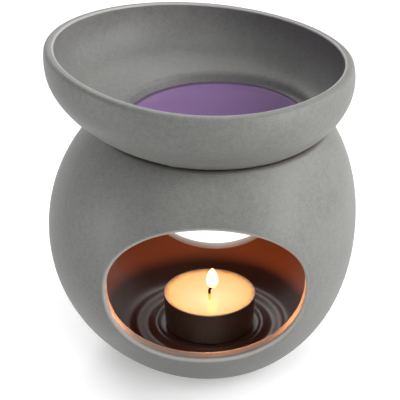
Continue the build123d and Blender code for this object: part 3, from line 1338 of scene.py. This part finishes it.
@dataclass
class OilDish:
    """The dish and the water in it: a leaning pebble, hollowed, with a tilted and rounded rim."""

    mouth_height: float
    mouth_radius: float
    radius: float = 60.25
    lower_depth: float = 34.1
    upper_height: float = 42.0
    lower_fullness: float = 1.86
    upper_fullness: float = 2.0
    offset_x: float = -0.8
    lean: float = -6.9
    bow: float = 2.2
    wall: float = 3.6
    under_wall: float = 2.6
    floor_thickness: float = 3.5
    base_radius: float = 25.0
    rim_rise: float = 4.35
    rim_fall: float = 1.8
    rim_front_sag: float = 3.6
    rim_front_tilt: float = 3.3
    rim_rear_sag: float = 0.2
    rim_rear_tilt: float = 4.0
    rim_overrun: float = 2.0
    rim_outer_round: float = 2.0
    rim_inner_round: float = 0.65
    well_ledge: float = 4.25
    well_depth: float = 7.5
    well_draft: float = 24.0
    well_offset: tuple[float, float] = (1.2, -0.8)
    well_round: float = 3.0
    well_foot_blend: float = 0.4
    shoulder_slope: float = 23.0
    shoulder_blend: float = 1.4
    shoulder_start: float = 116.0
    water_depth: float = 3.2
    meniscus: float = 0.6
    meniscus_reach: float = 1.2
    # The water's own body stops a little over the well's floor
    water_body: float = 3.0
    water_gap: float = 0.04
    columns: int = 200
    outer_rows: int = 56
    # Above 1, the outer rows lie closer together low down
    outer_crowding: float = 1.8
    inner_rows: int = 18
    shoulder_rows: int = 28
    well_wall_rows: int = 8
    well_floor_rows: int = 16
    outside: Pebble = field(init=False)
    inside: Pebble = field(init=False)
    base_height: float = field(init=False)

    def __post_init__(self) -> None:
        """Works out both forms and the heights that follow from them."""
        size = (self.radius, self.lower_depth, self.lower_fullness)
        level = self.mouth_height + reach_down(*size, self.mouth_radius)
        self.base_height = level - reach_down(*size, self.base_radius)
        self.outside = self.form(level, 0.0, 0.0)
        self.inside = self.form(level, self.wall, self.under_wall)

    def form(self, level: float, side: float, under: float) -> Pebble:
        """The dish's pebble, inset by the walls at its side and below.

        Args:
            level: Height of the widest section.
            side: Wall at the side, in mm.
            under: Wall below, in mm.

        Returns:
            The form.
        """
        return Pebble(
            self.radius - side,
            level,
            self.lower_depth - under,
            self.upper_height - side,
            self.lower_fullness,
            self.upper_fullness,
            self.lean,
            self.bow,
            self.lower_depth,
            self.offset_x,
        )

    @property
    def floor_height(self) -> float:
        """Height of the well's floor."""
        return self.base_height + self.floor_thickness

    @property
    def water_height(self) -> float:
        """Height of the water's surface."""
        return self.floor_height + self.water_depth

    @property
    def well_height(self) -> float:
        """Height of the well's edge."""
        return self.floor_height + self.well_depth

    @property
    def well_radius(self) -> float:
        """Radius of the well's edge."""
        return float(self.inside.radius(self.well_height)) - self.well_ledge

    @property
    def well_floor_radius(self) -> float:
        """Radius of the well at its floor."""
        return self.well_radius - self.well_depth * math.tan(math.radians(self.well_draft))

    @property
    def well_centre(self) -> tuple[float, float]:
        """Plan place of the well's axis."""
        return float(self.outside.centre(self.water_height)) + self.well_offset[0], self.well_offset[1]

    def rim_edge(self, form: Pebble, facing: float, turns: Grid) -> Round:
        """The rounded edge between a form and the rim's own surface.

        Formula of the rim's surface: a height above the widest section, less the fall times y, plus
        the sag times the square of x over the reach, less the side tilt times x. The sag and the tilt
        change evenly from the front of the reach to its rear.

        Args:
            form: The outer or the inner form.
            facing: 1 for the outer form, -1 for the inner one.
            turns: Turns of the columns.

        Returns:
            The round, from the form to the rim's top.
        """
        reach = self.radius + self.rim_overrun
        fall = math.tan(math.radians(self.rim_fall))
        ends = [math.tan(math.radians(tilt)) for tilt in (self.rim_front_tilt, self.rim_rear_tilt)]
        tilt_middle, tilt_change = (ends[0] + ends[1]) / 2, (ends[1] - ends[0]) / (2 * reach)
        sag_middle = (self.rim_front_sag + self.rim_rear_sag) / 2
        sag_change = (self.rim_rear_sag - self.rim_front_sag) / (2 * reach)
        passes = 12
        height = np.full(turns.shape, form.level + self.rim_rise)
        for _ in range(passes):
            point = form.point(turns, height)
            x, y = point[:, 0] - self.offset_x, point[:, 1]
            sag, tilt = sag_middle + sag_change * y, tilt_middle + tilt_change * y
            height = form.level + self.rim_rise - fall * y + sag * (x / reach) ** 2 - tilt * x
        corner = form.point(turns, height)
        fall_x = tilt - 2 * sag * x / reach**2
        fall_y = fall - sag_change * (x / reach) ** 2 + tilt_change * x
        up = unit(np.stack([fall_x, fall_y, np.ones(turns.shape)], axis=-1))
        rim_round = self.rim_outer_round if facing > 0 else self.rim_inner_round
        edge = Round(corner, facing * form.normal(turns, height), up, rim_round)
        found_turns, found_heights = form.locate(edge.start)
        edge.start = form.point(found_turns, found_heights)
        return edge

    def rows_between(self, form: Pebble, start: Grid, end: Grid, rows: int, ease: float) -> Grid:
        """Rows of a form from one border to another, in turn and height.

        Args:
            form: The outer or the inner form.
            start: Points of the lower border.
            end: Points of the upper border.
            rows: How many steps there are.
            ease: Power that the height share is raised to, above 1 for rows closer together low down.

        Returns:
            The rows without the two borders.
        """
        turns_low, height_low = form.locate(start)
        turns_high, height_high = form.locate(end)
        turn_gap = np.mod(turns_high - turns_low + np.pi, 2 * np.pi) - np.pi
        share = np.linspace(0, 1, rows + 1)[1:-1, None]
        heights = height_low + (height_high - height_low) * share**ease
        return form.point(turns_low + turn_gap * share, heights)

    def shoulder_height(self, x: Grid, y: Grid) -> Grid:
        """Height inside the dish, outside the well: the bowl's form over the shoulder's cone.

        Args:
            x: Places along X in mm.
            y: Places along Y in mm.

        Returns:
            The heights, of the same shape.
        """
        centre_x, centre_y = self.well_centre
        distance = np.hypot(x - centre_x, y - centre_y)
        rise = math.tan(math.radians(self.shoulder_slope))
        cone = self.well_height + (distance - self.well_radius) * rise
        return smooth_max(self.inside.underside(x, y), cone, self.shoulder_blend)

    def well_height_at(self, x: Grid, y: Grid) -> Grid:
        """Height inside the well: the flat floor, the drafted wall and the bowl's form, blended.

        Args:
            x: Places along X in mm.
            y: Places along Y in mm.

        Returns:
            The heights, of the same shape.
        """
        centre_x, centre_y = self.well_centre
        distance = np.hypot(x - centre_x, y - centre_y)
        draft = math.tan(math.radians(self.well_draft))
        wall = self.floor_height + (distance - self.well_floor_radius) / draft
        flat = np.full(x.shape, self.floor_height)
        blend = self.well_foot_blend
        return smooth_max(smooth_max(wall, flat, blend), self.inside.underside(x, y), blend)

    def well_reach(self, turns: Grid, height: float) -> Grid:
        """Distance from the well's axis to the clay at a height, on each turn's ray.

        Formula: the nearer of the drafted wall's circle and the bowl's section, where the ray meets a
        circle of radius R about a centre q away at -d.q + sqrt((d.q)^2 - |q|^2 + R^2).

        Args:
            turns: Turns of the rays.
            height: The height in mm.

        Returns:
            The distances in mm.
        """
        draft = math.tan(math.radians(self.well_draft))
        wall = self.well_floor_radius + (height - self.floor_height) * draft
        away_x = self.well_centre[0] - float(self.inside.centre(height))
        away_y = self.well_centre[1]
        along = away_x * np.sin(turns) - away_y * np.cos(turns)
        radius = float(self.inside.radius(height))
        bowl = -along + np.sqrt(along**2 - away_x**2 - away_y**2 + radius**2)
        return np.minimum(wall, bowl)

    def build(self) -> bpy.types.Object:
        """Builds the dish as one closed mesh, from the middle of its base round to the well's middle."""
        turns = full_turn(self.columns)
        base_centre = (float(self.outside.centre(self.base_height)), 0.0)
        down = np.tile([0.0, 0.0, -1.0], (self.columns, 1))
        base_line = np.full(turns.shape, self.base_height)
        base_corner = self.outside.point(turns, base_line)
        base_edge = Round(base_corner, down, self.outside.normal(turns, base_line), self.wall / 2)
        base_radii = self.base_radius * np.array([0, 0.3, 0.6])
        outer_rim = self.rim_edge(self.outside, 1.0, turns)
        inner_rim = self.rim_edge(self.inside, -1.0, turns)
        shoulder_top = self.inside.point(turns, np.full(turns.shape, self.shoulder_start))
        well_edge = self.well_edge(turns)
        shoulder = between(shoulder_top, well_edge.start, self.shoulder_rows)
        shoulder[..., 2] = self.shoulder_height(shoulder[..., 0], shoulder[..., 1])
        well_edge.start[:, 2] = shoulder[-1, :, 2]
        well_middle = np.tile([*self.well_centre, 0.0], (self.columns, 1))
        # Rows lie close together over the first part of the way in, where the wall meets the floor
        wall_foot = well_edge.end + 0.06 * (well_middle - well_edge.end)
        well_wall = between(well_edge.end, wall_foot, self.well_wall_rows)
        well_floor = between(wall_foot, well_middle, self.well_floor_rows)
        well = np.concatenate([well_wall[1:], well_floor[1:]])
        well[..., 2] = self.well_height_at(well[..., 0], well[..., 1])
        outer_wall = self.rows_between(
            self.outside, base_edge.end, outer_rim.start, self.outer_rows, self.outer_crowding
        )
        inner_wall = self.rows_between(self.inside, shoulder_top, inner_rim.start, self.inner_rows, 1.0)
        # The rim's inner round is painted pale, most at its inner edge, as a highlight, and its glaze is
        # smoother there
        rubbed_and_highlit = np.cos(np.linspace(-1.2, np.pi / 2, ARC_ROWS)) ** 0.5
        strips = [
            (circles(base_radii[:, None], turns, base_centre, self.base_height), 0.0),
            (base_edge.rows(6), 0.0),
            (outer_wall, 0.0),
            (outer_rim.rows(), 0.0),
            (between(outer_rim.end, inner_rim.end, 2)[1:-1], 0.0),
            (inner_rim.rows()[::-1], rubbed_and_highlit),
            (inner_wall[::-1], 0.0),
            (shoulder[:-1], 0.0),
            (well_edge.rows(6), 0.0),
            (well, 0.0),
        ]
        rows = np.concatenate([points for points, _ in strips])
        wear_and_highlight = np.concatenate([np.broadcast_to(value, len(points)) for points, value in strips])
        patch = Patch(rows, wear_and_highlight=wear_and_highlight)
        return welded_piece("stoneware_dish", [patch], "dish", "oil_dish")

    def well_edge(self, turns: Grid) -> Round:
        """The rounded edge between the shoulder and the well's wall.

        Args:
            turns: Turns of the columns.

        Returns:
            The round, from the shoulder to the wall.
        """
        slope, draft = math.radians(self.shoulder_slope), math.radians(self.well_draft)
        outward = np.stack([np.sin(turns), -np.cos(turns), np.zeros(turns.shape)], axis=-1)
        up = np.array([0.0, 0.0, 1.0])
        shoulder_normal = -math.sin(slope) * outward + math.cos(slope) * up
        wall_normal = -math.cos(draft) * outward + math.sin(draft) * up
        corner = circles(self.well_radius, turns, self.well_centre, self.well_height)
        return Round(corner, shoulder_normal, wall_normal, self.well_round)

    def build_water(self) -> bpy.types.Object:
        """Builds the water: a level top that climbs a little at its edge, and a body inside the well.

        Formula of the top: the water's height plus the meniscus times exp(-(gap / reach)), where the
        gap is the distance to the clay.
        """
        turns = full_turn(self.columns)
        top, depth = self.water_height, self.water_body
        edge = self.well_reach(turns, top + self.meniscus)
        gaps = np.linspace(0, 1, 22) ** 1.5 * 9.0
        reaches = [self.well_reach(turns, top - depth) * share for share in (0.0, 0.5, 0.9)]
        heights = [top - depth] * len(reaches)
        for drop in (depth, 2.0, 1.0, -0.9):
            reaches.append(self.well_reach(turns, top - drop) - self.water_gap)
            heights.append(top - drop)
        for gap in gaps:
            reaches.append(edge - gap)
            heights.append(top + self.meniscus * math.exp(-gap / self.meniscus_reach))
        for share in (0.75, 0.5, 0.25, 0.0):
            reaches.append((edge - gaps[-1]) * share)
            heights.append(top)
        rows = circles(np.stack(reaches), turns, self.well_centre, np.array(heights)[:, None])
        return welded_piece("lilac_water", [Patch(rows)], "dish", "scented_water")


# Tealight


@dataclass
class Tealight:
    """The tealight: pressed cup, wax, molten pool, wick, its holder and the flame."""

    x: float
    floor: float
    cup_radius: float = 19.0
    cup_base_radius: float = 18.3
    cup_height: float = 14.9
    cup_metal: float = 0.4
    cup_corner: float = 1.8
    bead: float = 0.28
    wax_drop: float = 0.6
    wax_gap: float = 0.12
    wax_lift: float = 0.05
    wax_creep: float = 0.42
    creep_reach: float = 0.5
    pool_radius: float = 17.2
    pool_depth: float = 7.0
    # The pool stands a hair over the wax, keeps off its edge, and reaches a little into it below
    pool_proud: float = 0.02
    pool_gap: float = 0.03
    pool_overlap: float = 0.1
    pool_climb: float = 0.25
    climb_reach: float = 0.5
    holder_radius: float = 6.5
    holder_metal: float = 0.3
    neck_radius: float = 1.3
    neck_height: float = 3.2
    wick_radius: float = 0.6
    # The cord's mean radius as a share of the whole, and its end's as a share of that
    wick_core: float = 0.92
    wick_tip: float = 0.45
    wick_proud: float = 1.2
    hook_radius: float = 1.8
    hook_turn: float = 78.0
    flame_x: float = 1.1
    flame_rise: float = 2.8
    flame_radius: float = 2.45
    flame_height: float = 9.0
    flame_taper: float = 0.8
    belly_share: float = 0.36
    flame_power: float = 0.11
    flame_colour: tuple[float, float, float] = (1.0, 0.34, 0.1)

    @property
    def rim(self) -> float:
        """Height of the cup's rim."""
        return self.floor + self.cup_height

    @property
    def wax_level(self) -> float:
        """Height of the wax and of the pool."""
        return self.rim - self.wax_drop

    @property
    def flame_base(self) -> float:
        """Height of the flame's root."""
        return self.wax_level + self.flame_rise

    def turned(
        self, name: str, profile: Grid, node: str, columns: int = 160, aside: float = 0.0
    ) -> bpy.types.Object:
        """A piece spun from a closed profile about the tealight's axis.

        Args:
            name: The piece's name.
            profile: Points (radius, height) of the profile, in mm.
            node: The solid that it stands for.
            columns: How many points each circle has.
            aside: How far to the right of the tealight's axis its own axis stands.

        Returns:
            The piece.
        """
        rows = spun(profile, (self.x + aside, 0.0), full_turn(columns))
        return welded_piece(name, [Patch(rows)], "tealight", node)

    def cup(self) -> bpy.types.Object:
        """The cup: a closed profile of flat base, round corner, flared side and rolled bead, spun."""
        base, metal, corner = self.floor, self.cup_metal, self.cup_corner
        foot_x, foot_z = self.cup_base_radius - corner, base + corner
        quarter = np.linspace(-np.pi / 2, 0, 9)
        outer = arc(foot_x, foot_z, corner, quarter)
        inner = arc(foot_x, foot_z, corner - metal, quarter[::-1])
        bead = arc(self.cup_radius - self.bead, self.rim - self.bead, self.bead, np.linspace(0, np.pi, 11))
        flare = (self.cup_radius - self.cup_base_radius) / self.cup_height
        rise = np.linspace(corner + 0.8, self.cup_height - 1.0, 6)
        side = np.column_stack([self.cup_base_radius + flare * (rise - corner), base + rise])
        back = side[::-1] - (metal, 0.0)
        flat = [(foot_x * share, base) for share in (0.0, 0.35, 0.7)]
        under = [(foot_x * share, base + metal) for share in (0.7, 0.35, 0.0)]
        profile = np.concatenate([flat, outer, side, bead, back, inner, under])
        return self.turned("tealight_cup_metal", profile, "tealight_cup")

    def pool_drop(self, radius: Grid) -> Grid:
        """Depth of the pool at a radius: a shallow cap of a sphere through its edge."""
        sphere = (self.pool_radius**2 + self.pool_depth**2) / (2 * self.pool_depth)
        inside = np.clip(sphere**2 - radius**2, 0, None)
        return np.clip(np.sqrt(inside) - (sphere - self.pool_depth), 0, None)

    def wax(self) -> bpy.types.Object:
        """The wax: its top dips under the pool and creeps up the cup's side at its rim.

        Formula of the top: the wax level, less the pool's depth at that radius, plus the creep times
        exp(-(gap / reach)), where the gap is the distance to the wax's own side.
        """
        level, low = self.wax_level, self.floor + self.cup_metal + self.wax_lift
        wall = self.cup_radius - self.cup_metal - self.wax_gap
        basin, shore = np.linspace(0, self.pool_radius, 40), np.linspace(self.pool_radius, wall, 12)
        radii = np.concatenate([basin, shore[1:]])
        creep = self.wax_creep * np.exp(-(wall - radii) / self.creep_reach)
        top = np.column_stack([radii, level - self.pool_drop(radii) + creep])
        foot = self.cup_base_radius - self.cup_metal - self.cup_corner
        # The side keeps clear of the cup's flare and of its round corner
        side = [(wall - 0.25, level - 5), (wall - 0.6, low + 1.6), (foot, low), (foot / 2, low), (0, low)]
        return self.turned("candle_wax", np.concatenate([top, side]), "tealight_wax")

    def pool(self) -> bpy.types.Object:
        """The molten pool: level on top, climbing a little at the wick, and a cap of a sphere below.

        Formula of the top: the level plus the climb times exp(-(gap / reach)), where the gap is the
        distance to the wick.
        """
        level, first, calm = self.wax_level + self.pool_proud, 0.05, 2.4
        edge = self.pool_radius - self.pool_gap
        radii = np.concatenate([np.linspace(first, calm, 12), np.linspace(calm, edge, 24)[1:]])
        gap = np.clip(radii - self.wick_radius, 0, None)
        top = np.column_stack([radii, level + self.pool_climb * np.exp(-gap / self.climb_reach)])
        low = np.linspace(edge, first, 36)
        bottom = np.column_stack([low, level - self.pool_overlap - self.pool_drop(low)])
        profile = np.concatenate([[(0.0, top[0, 1])], top, bottom, [(0.0, bottom[-1, 1])]])
        return self.turned("molten_pool", profile, "molten_wax", 128)

    def wick(self) -> bpy.types.Object:
        """The wick: a round cord carried along an upright line and a hook, burnt to a frayed end.

        Formula: the path rises straight to the bend, then follows an arc of the hook's radius. The
        cord's radius tapers over its last fifth and waves a little with the turn and the length.
        """
        bend = self.wax_level + self.wick_proud
        straight = np.linspace(self.floor + self.cup_metal + self.holder_metal, bend, 24)
        angles = np.radians(np.linspace(0, self.hook_turn, 14)[1:])
        upright = np.zeros(len(straight))
        path_x = np.concatenate([upright, self.hook_radius * (1 - np.cos(angles))])
        path_z = np.concatenate([straight, bend + self.hook_radius * np.sin(angles)])
        lean = np.concatenate([upright, angles])
        turns = full_turn(20)
        share = np.linspace(0, 1, len(path_x))[:, None]
        taper = self.wick_tip + (1 - self.wick_tip) * np.clip((1 - share) / 0.2, 0, 1) ** 0.5
        fray = 1 + 0.1 * np.sin(3 * turns + 40 * share) + 0.06 * np.sin(7 * turns - 70 * share)
        radius = self.wick_radius * self.wick_core * taper * fray
        across = radius * np.sin(turns)
        x = self.x + path_x[:, None] + across * np.cos(lean)[:, None]
        z = path_z[:, None] - across * np.sin(lean)[:, None]
        rows = np.stack([x, -radius * np.cos(turns), z], axis=-1)
        first, last = [np.tile(rows[i].mean(axis=0), (1, len(turns), 1)) for i in (0, -1)]
        cord = Patch(np.concatenate([first, rows, last]))
        return welded_piece("cotton_wick", [cord], "tealight", "wick")

    def holder(self) -> bpy.types.Object:
        """The wick's holder: a stamped disc with a turned-up neck, spun from one closed profile."""
        base = self.floor + self.cup_metal
        top, height = base + self.holder_metal, base + self.neck_height
        outer, neck, bore = self.holder_radius, self.neck_radius, self.wick_radius
        edge, fillet, roll = 0.1, 0.5, 0.25
        profile = np.array(
            [
                (bore, base),
                (outer - edge, base),
                (outer, base + edge),
                (outer, top - edge),
                (outer - edge, top),
                (neck + fillet, top),
                (neck + 0.3 * fillet, top + 0.3 * fillet),
                (neck, top + fillet),
                (neck - 0.2 * roll, height - 0.8 * roll),
                (neck - roll, height),
                (bore + edge, height),
                (bore, height - edge),
                (bore, base),
            ]
        )
        return self.turned("wick_holder", profile, "wick_sustainer", 64)

    def flame(self) -> bpy.types.Object:
        """The flame: a drop spun about its own axis.

        Formula: below the belly the radius follows a quarter of an ellipse; above it, it is the
        belly's radius times (1 - share^2)^taper, where share runs from the belly to the tip.
        """
        quarter = np.linspace(0, np.pi / 2, 16)
        share = np.linspace(0, 1, 26)[1:]
        taper = (1 - share**2) ** self.flame_taper
        radii = self.flame_radius * np.concatenate([np.sin(quarter), taper])
        below, above = self.belly_share * (1 - np.cos(quarter)), (1 - self.belly_share) * share
        heights = self.flame_base + self.flame_height * np.concatenate([below, self.belly_share + above])
        profile = np.column_stack([radii, heights])
        flame = self.turned("candle_flame", profile, "flame", 64, self.flame_x)
        flame.visible_shadow = False
        return flame

    def flame_lamp(self, stoneware: list[bpy.types.Object]) -> None:
        """The light that the flame throws: a small round lamp in its belly, which moves with the tealight.

        Args:
            stoneware: The pieces that it lights. The wax glows by itself.
        """
        data = bpy.data.lights.new("flame_lamp", "POINT")
        data.shadow_soft_size = self.flame_radius * MM
        data.energy = self.flame_power
        data.color = self.flame_colour
        lamp = bpy.data.objects.new("flame_lamp", data)
        height = self.flame_base + self.flame_height * self.belly_share
        lamp.location = [value * MM for value in (self.x + self.flame_x, 0.0, height)]
        lamp.visible_camera = False
        lamp.visible_transmission = False
        lamp.light_linking.receiver_collection = collection_of("lit_by_flame", stoneware)
        bpy.context.scene.collection.objects.link(lamp)
        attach(lamp, "tealight")


# Studio


class Lit(Enum):
    """What a lamp lights."""

    ALL = "all"
    TABLE = "table"
    STONEWARE = "stoneware"


@dataclass(frozen=True)
class SoftLamp:
    """A square soft lamp that faces the object.

    Attributes:
        name: The lamp's name.
        azimuth: Which way it stands from the object, in degrees: 0 in front, 90 at the right.
        elevation: How high it stands, in degrees above the table. Below 0 it stands for light that the
            table throws back, and the table lets it through.
        size: Its side in mm.
        power: Its power in watts.
        distance: How far it stands from what it faces, in mm.
        aim: Height that it faces over the middle of the table, in mm.
        lit: What it lights; what it doesn't light still casts its shadow.
    """

    name: str
    azimuth: float
    elevation: float
    size: float
    power: float
    distance: float = 1200.0
    aim: float = 70.0
    lit: Lit = Lit.ALL

    def place(self, receivers: dict[Lit, bpy.types.Collection]) -> None:
        """Adds the lamp: its place is the target plus the distance along its two angles.

        Args:
            receivers: The collection of what each choice but the first lights.
        """
        data = bpy.data.lights.new(self.name, "AREA")
        data.size = self.size * MM
        data.energy = self.power
        lamp = bpy.data.objects.new(self.name, data)
        turn, climb = math.radians(self.azimuth), math.radians(self.elevation)
        reach = self.distance * math.cos(climb)
        height = self.aim + self.distance * math.sin(climb)
        place = (reach * math.sin(turn), -reach * math.cos(turn), height)
        lamp.location = [value * MM for value in place]
        lamp.rotation_euler = (math.pi / 2 - climb, 0.0, turn)
        lamp.visible_camera = False
        if self.lit in receivers:
            lamp.light_linking.receiver_collection = receivers[self.lit]
        if self.elevation < 0:
            lamp.light_linking.blocker_collection = receivers[Lit.STONEWARE]
        bpy.context.scene.collection.objects.link(lamp)


# Azimuth, elevation, size and power; the last three make the table white
LAMPS = (
    SoftLamp("key_lamp", 70.0, 30.0, 600.0, 5.8),
    SoftLamp("right_lamp", 100.0, 25.0, 600.0, 2.8),
    SoftLamp("top_front_lamp", 0.0, 55.0, 600.0, 2.2),
    SoftLamp("top_back_lamp", 180.0, 65.0, 600.0, 1.5),
    SoftLamp("rim_lamp", 160.0, 55.0, 600.0, 2.8, lit=Lit.STONEWARE),
    SoftLamp("back_lamp", 194.0, 34.0, 500.0, 2.2, lit=Lit.STONEWARE),
    SoftLamp("low_left_strip", 285.0, 4.0, 250.0, 2.2),
    SoftLamp("low_right_strip", 60.0, 4.0, 250.0, 3.9),
    SoftLamp("left_bounce", 300.0, -15.0, 400.0, 2.4, lit=Lit.STONEWARE),
    SoftLamp("right_bounce", 90.0, -12.0, 400.0, 1.8, lit=Lit.STONEWARE),
    SoftLamp("table_left_lamp", 225.0, 50.0, 600.0, 7.6, lit=Lit.TABLE),
    SoftLamp("table_right_lamp", 100.0, 50.0, 600.0, 3.0, lit=Lit.TABLE),
    SoftLamp("table_front_lamp", 0.0, 45.0, 600.0, 3.0, lit=Lit.TABLE),
)


@dataclass
class Studio:
    """The camera, the white table, the soft lamps and a white surround."""

    camera_place: tuple[float, float, float] = (-0.83, -682.51, 433.81)
    camera_pitch: float = 28.27
    camera_lens: float = 172.74
    sensor_width: float = 36.0
    table_size: float = 6000.0
    world_light: float = 0.02

    def build(self, stoneware: list[bpy.types.Object]) -> None:
        """Makes everything that isn't the object.

        Args:
            stoneware: The pieces of stoneware.
        """
        self.camera()
        self.world()
        receivers = {
            Lit.TABLE: collection_of("table_top", [self.table()]),
            Lit.STONEWARE: collection_of("stoneware", stoneware),
        }
        for lamp in LAMPS:
            lamp.place(receivers)

    def camera(self) -> None:
        """The photograph's camera: far off, a little above, looking down."""
        data = bpy.data.cameras.new("photo_camera")
        data.lens = self.camera_lens
        data.sensor_width = self.sensor_width
        data.clip_start = 0.01
        data.clip_end = 20.0
        camera = bpy.data.objects.new("photo_camera", data)
        camera.location = [value * MM for value in self.camera_place]
        camera.rotation_euler = (math.radians(90 - self.camera_pitch), 0.0, 0.0)
        bpy.context.scene.collection.objects.link(camera)
        bpy.context.scene.camera = camera

    def table(self) -> bpy.types.Object:
        """The table top: one large level square."""
        half = self.table_size / 2
        corners = np.array([(-half, -half, 0), (half, -half, 0), (half, half, 0), (-half, half, 0)]) * MM
        mesh = bpy.data.meshes.new("table_top")
        mesh.from_pydata(corners.tolist(), [], [(0, 1, 2, 3)])
        mesh.materials.append(WhiteLaminate().material())
        table = bpy.data.objects.new("table_top", mesh)
        bpy.context.scene.collection.objects.link(table)
        return table

    def world(self) -> None:
        """A dim white surround that camera, mirror and glass see at full white."""
        world = bpy.data.worlds.new("white_surround")
        bpy.context.scene.world = world
        world.use_nodes = True
        tree = world.node_tree
        tree.nodes.clear()
        seen = seen_by(tree, "Is Camera Ray", "Is Glossy Ray", "Is Transmission Ray")
        brightness = {"Value": seen, "To Min": self.world_light, "To Max": 1.0}
        strength = add_node(tree, "ShaderNodeMapRange", brightness)
        white = {"Color": linear("#ffffff"), "Strength": strength}
        background = add_node(tree, "ShaderNodeBackground", white)
        add_node(tree, "ShaderNodeOutputWorld", {"Surface": background})


# Assembly


def dress(piece: bpy.types.Object, material: bpy.types.Material) -> None:
    """Gives a piece its finish and reports it."""
    piece.data.materials.append(material)
    log.info("%s: %d faces, %s", piece.name, len(piece.data.polygons), material.name)


def main() -> None:
    """Builds the ball, the dish with its water, the tealight, and then the studio round them."""
    logging.basicConfig(level=logging.INFO, format="%(name)s: %(message)s")
    bpy.context.scene.view_settings.view_transform = "Standard"
    stoneware = MatteStoneware().material()
    ball = StonewareBall()
    dish = OilDish(ball.mouth_height, ball.mouth_radius)
    tealight = Tealight(ball.tealight_x, ball.floor_height)
    axis = (tealight.x, 0.0)
    pottery = [ball.build(dish.outside), dish.build()]
    for piece in pottery:
        dress(piece, stoneware)
    dress(dish.build_water(), ScentedWater().material())
    dress(tealight.cup(), PressedAluminium().material())
    dress(tealight.wax(), LitWax(axis).material())
    dress(tealight.pool(), MoltenWax().material())
    dress(tealight.wick(), BraidedCotton(tealight.wax_level).material())
    dress(tealight.holder(), TinnedSteel(axis).material())
    dress(tealight.flame(), FlameLight(tealight.flame_base, tealight.flame_height).material())
    tealight.flame_lamp(pottery)
    Studio().build(pottery)


if __name__ == "__main__":
    main()
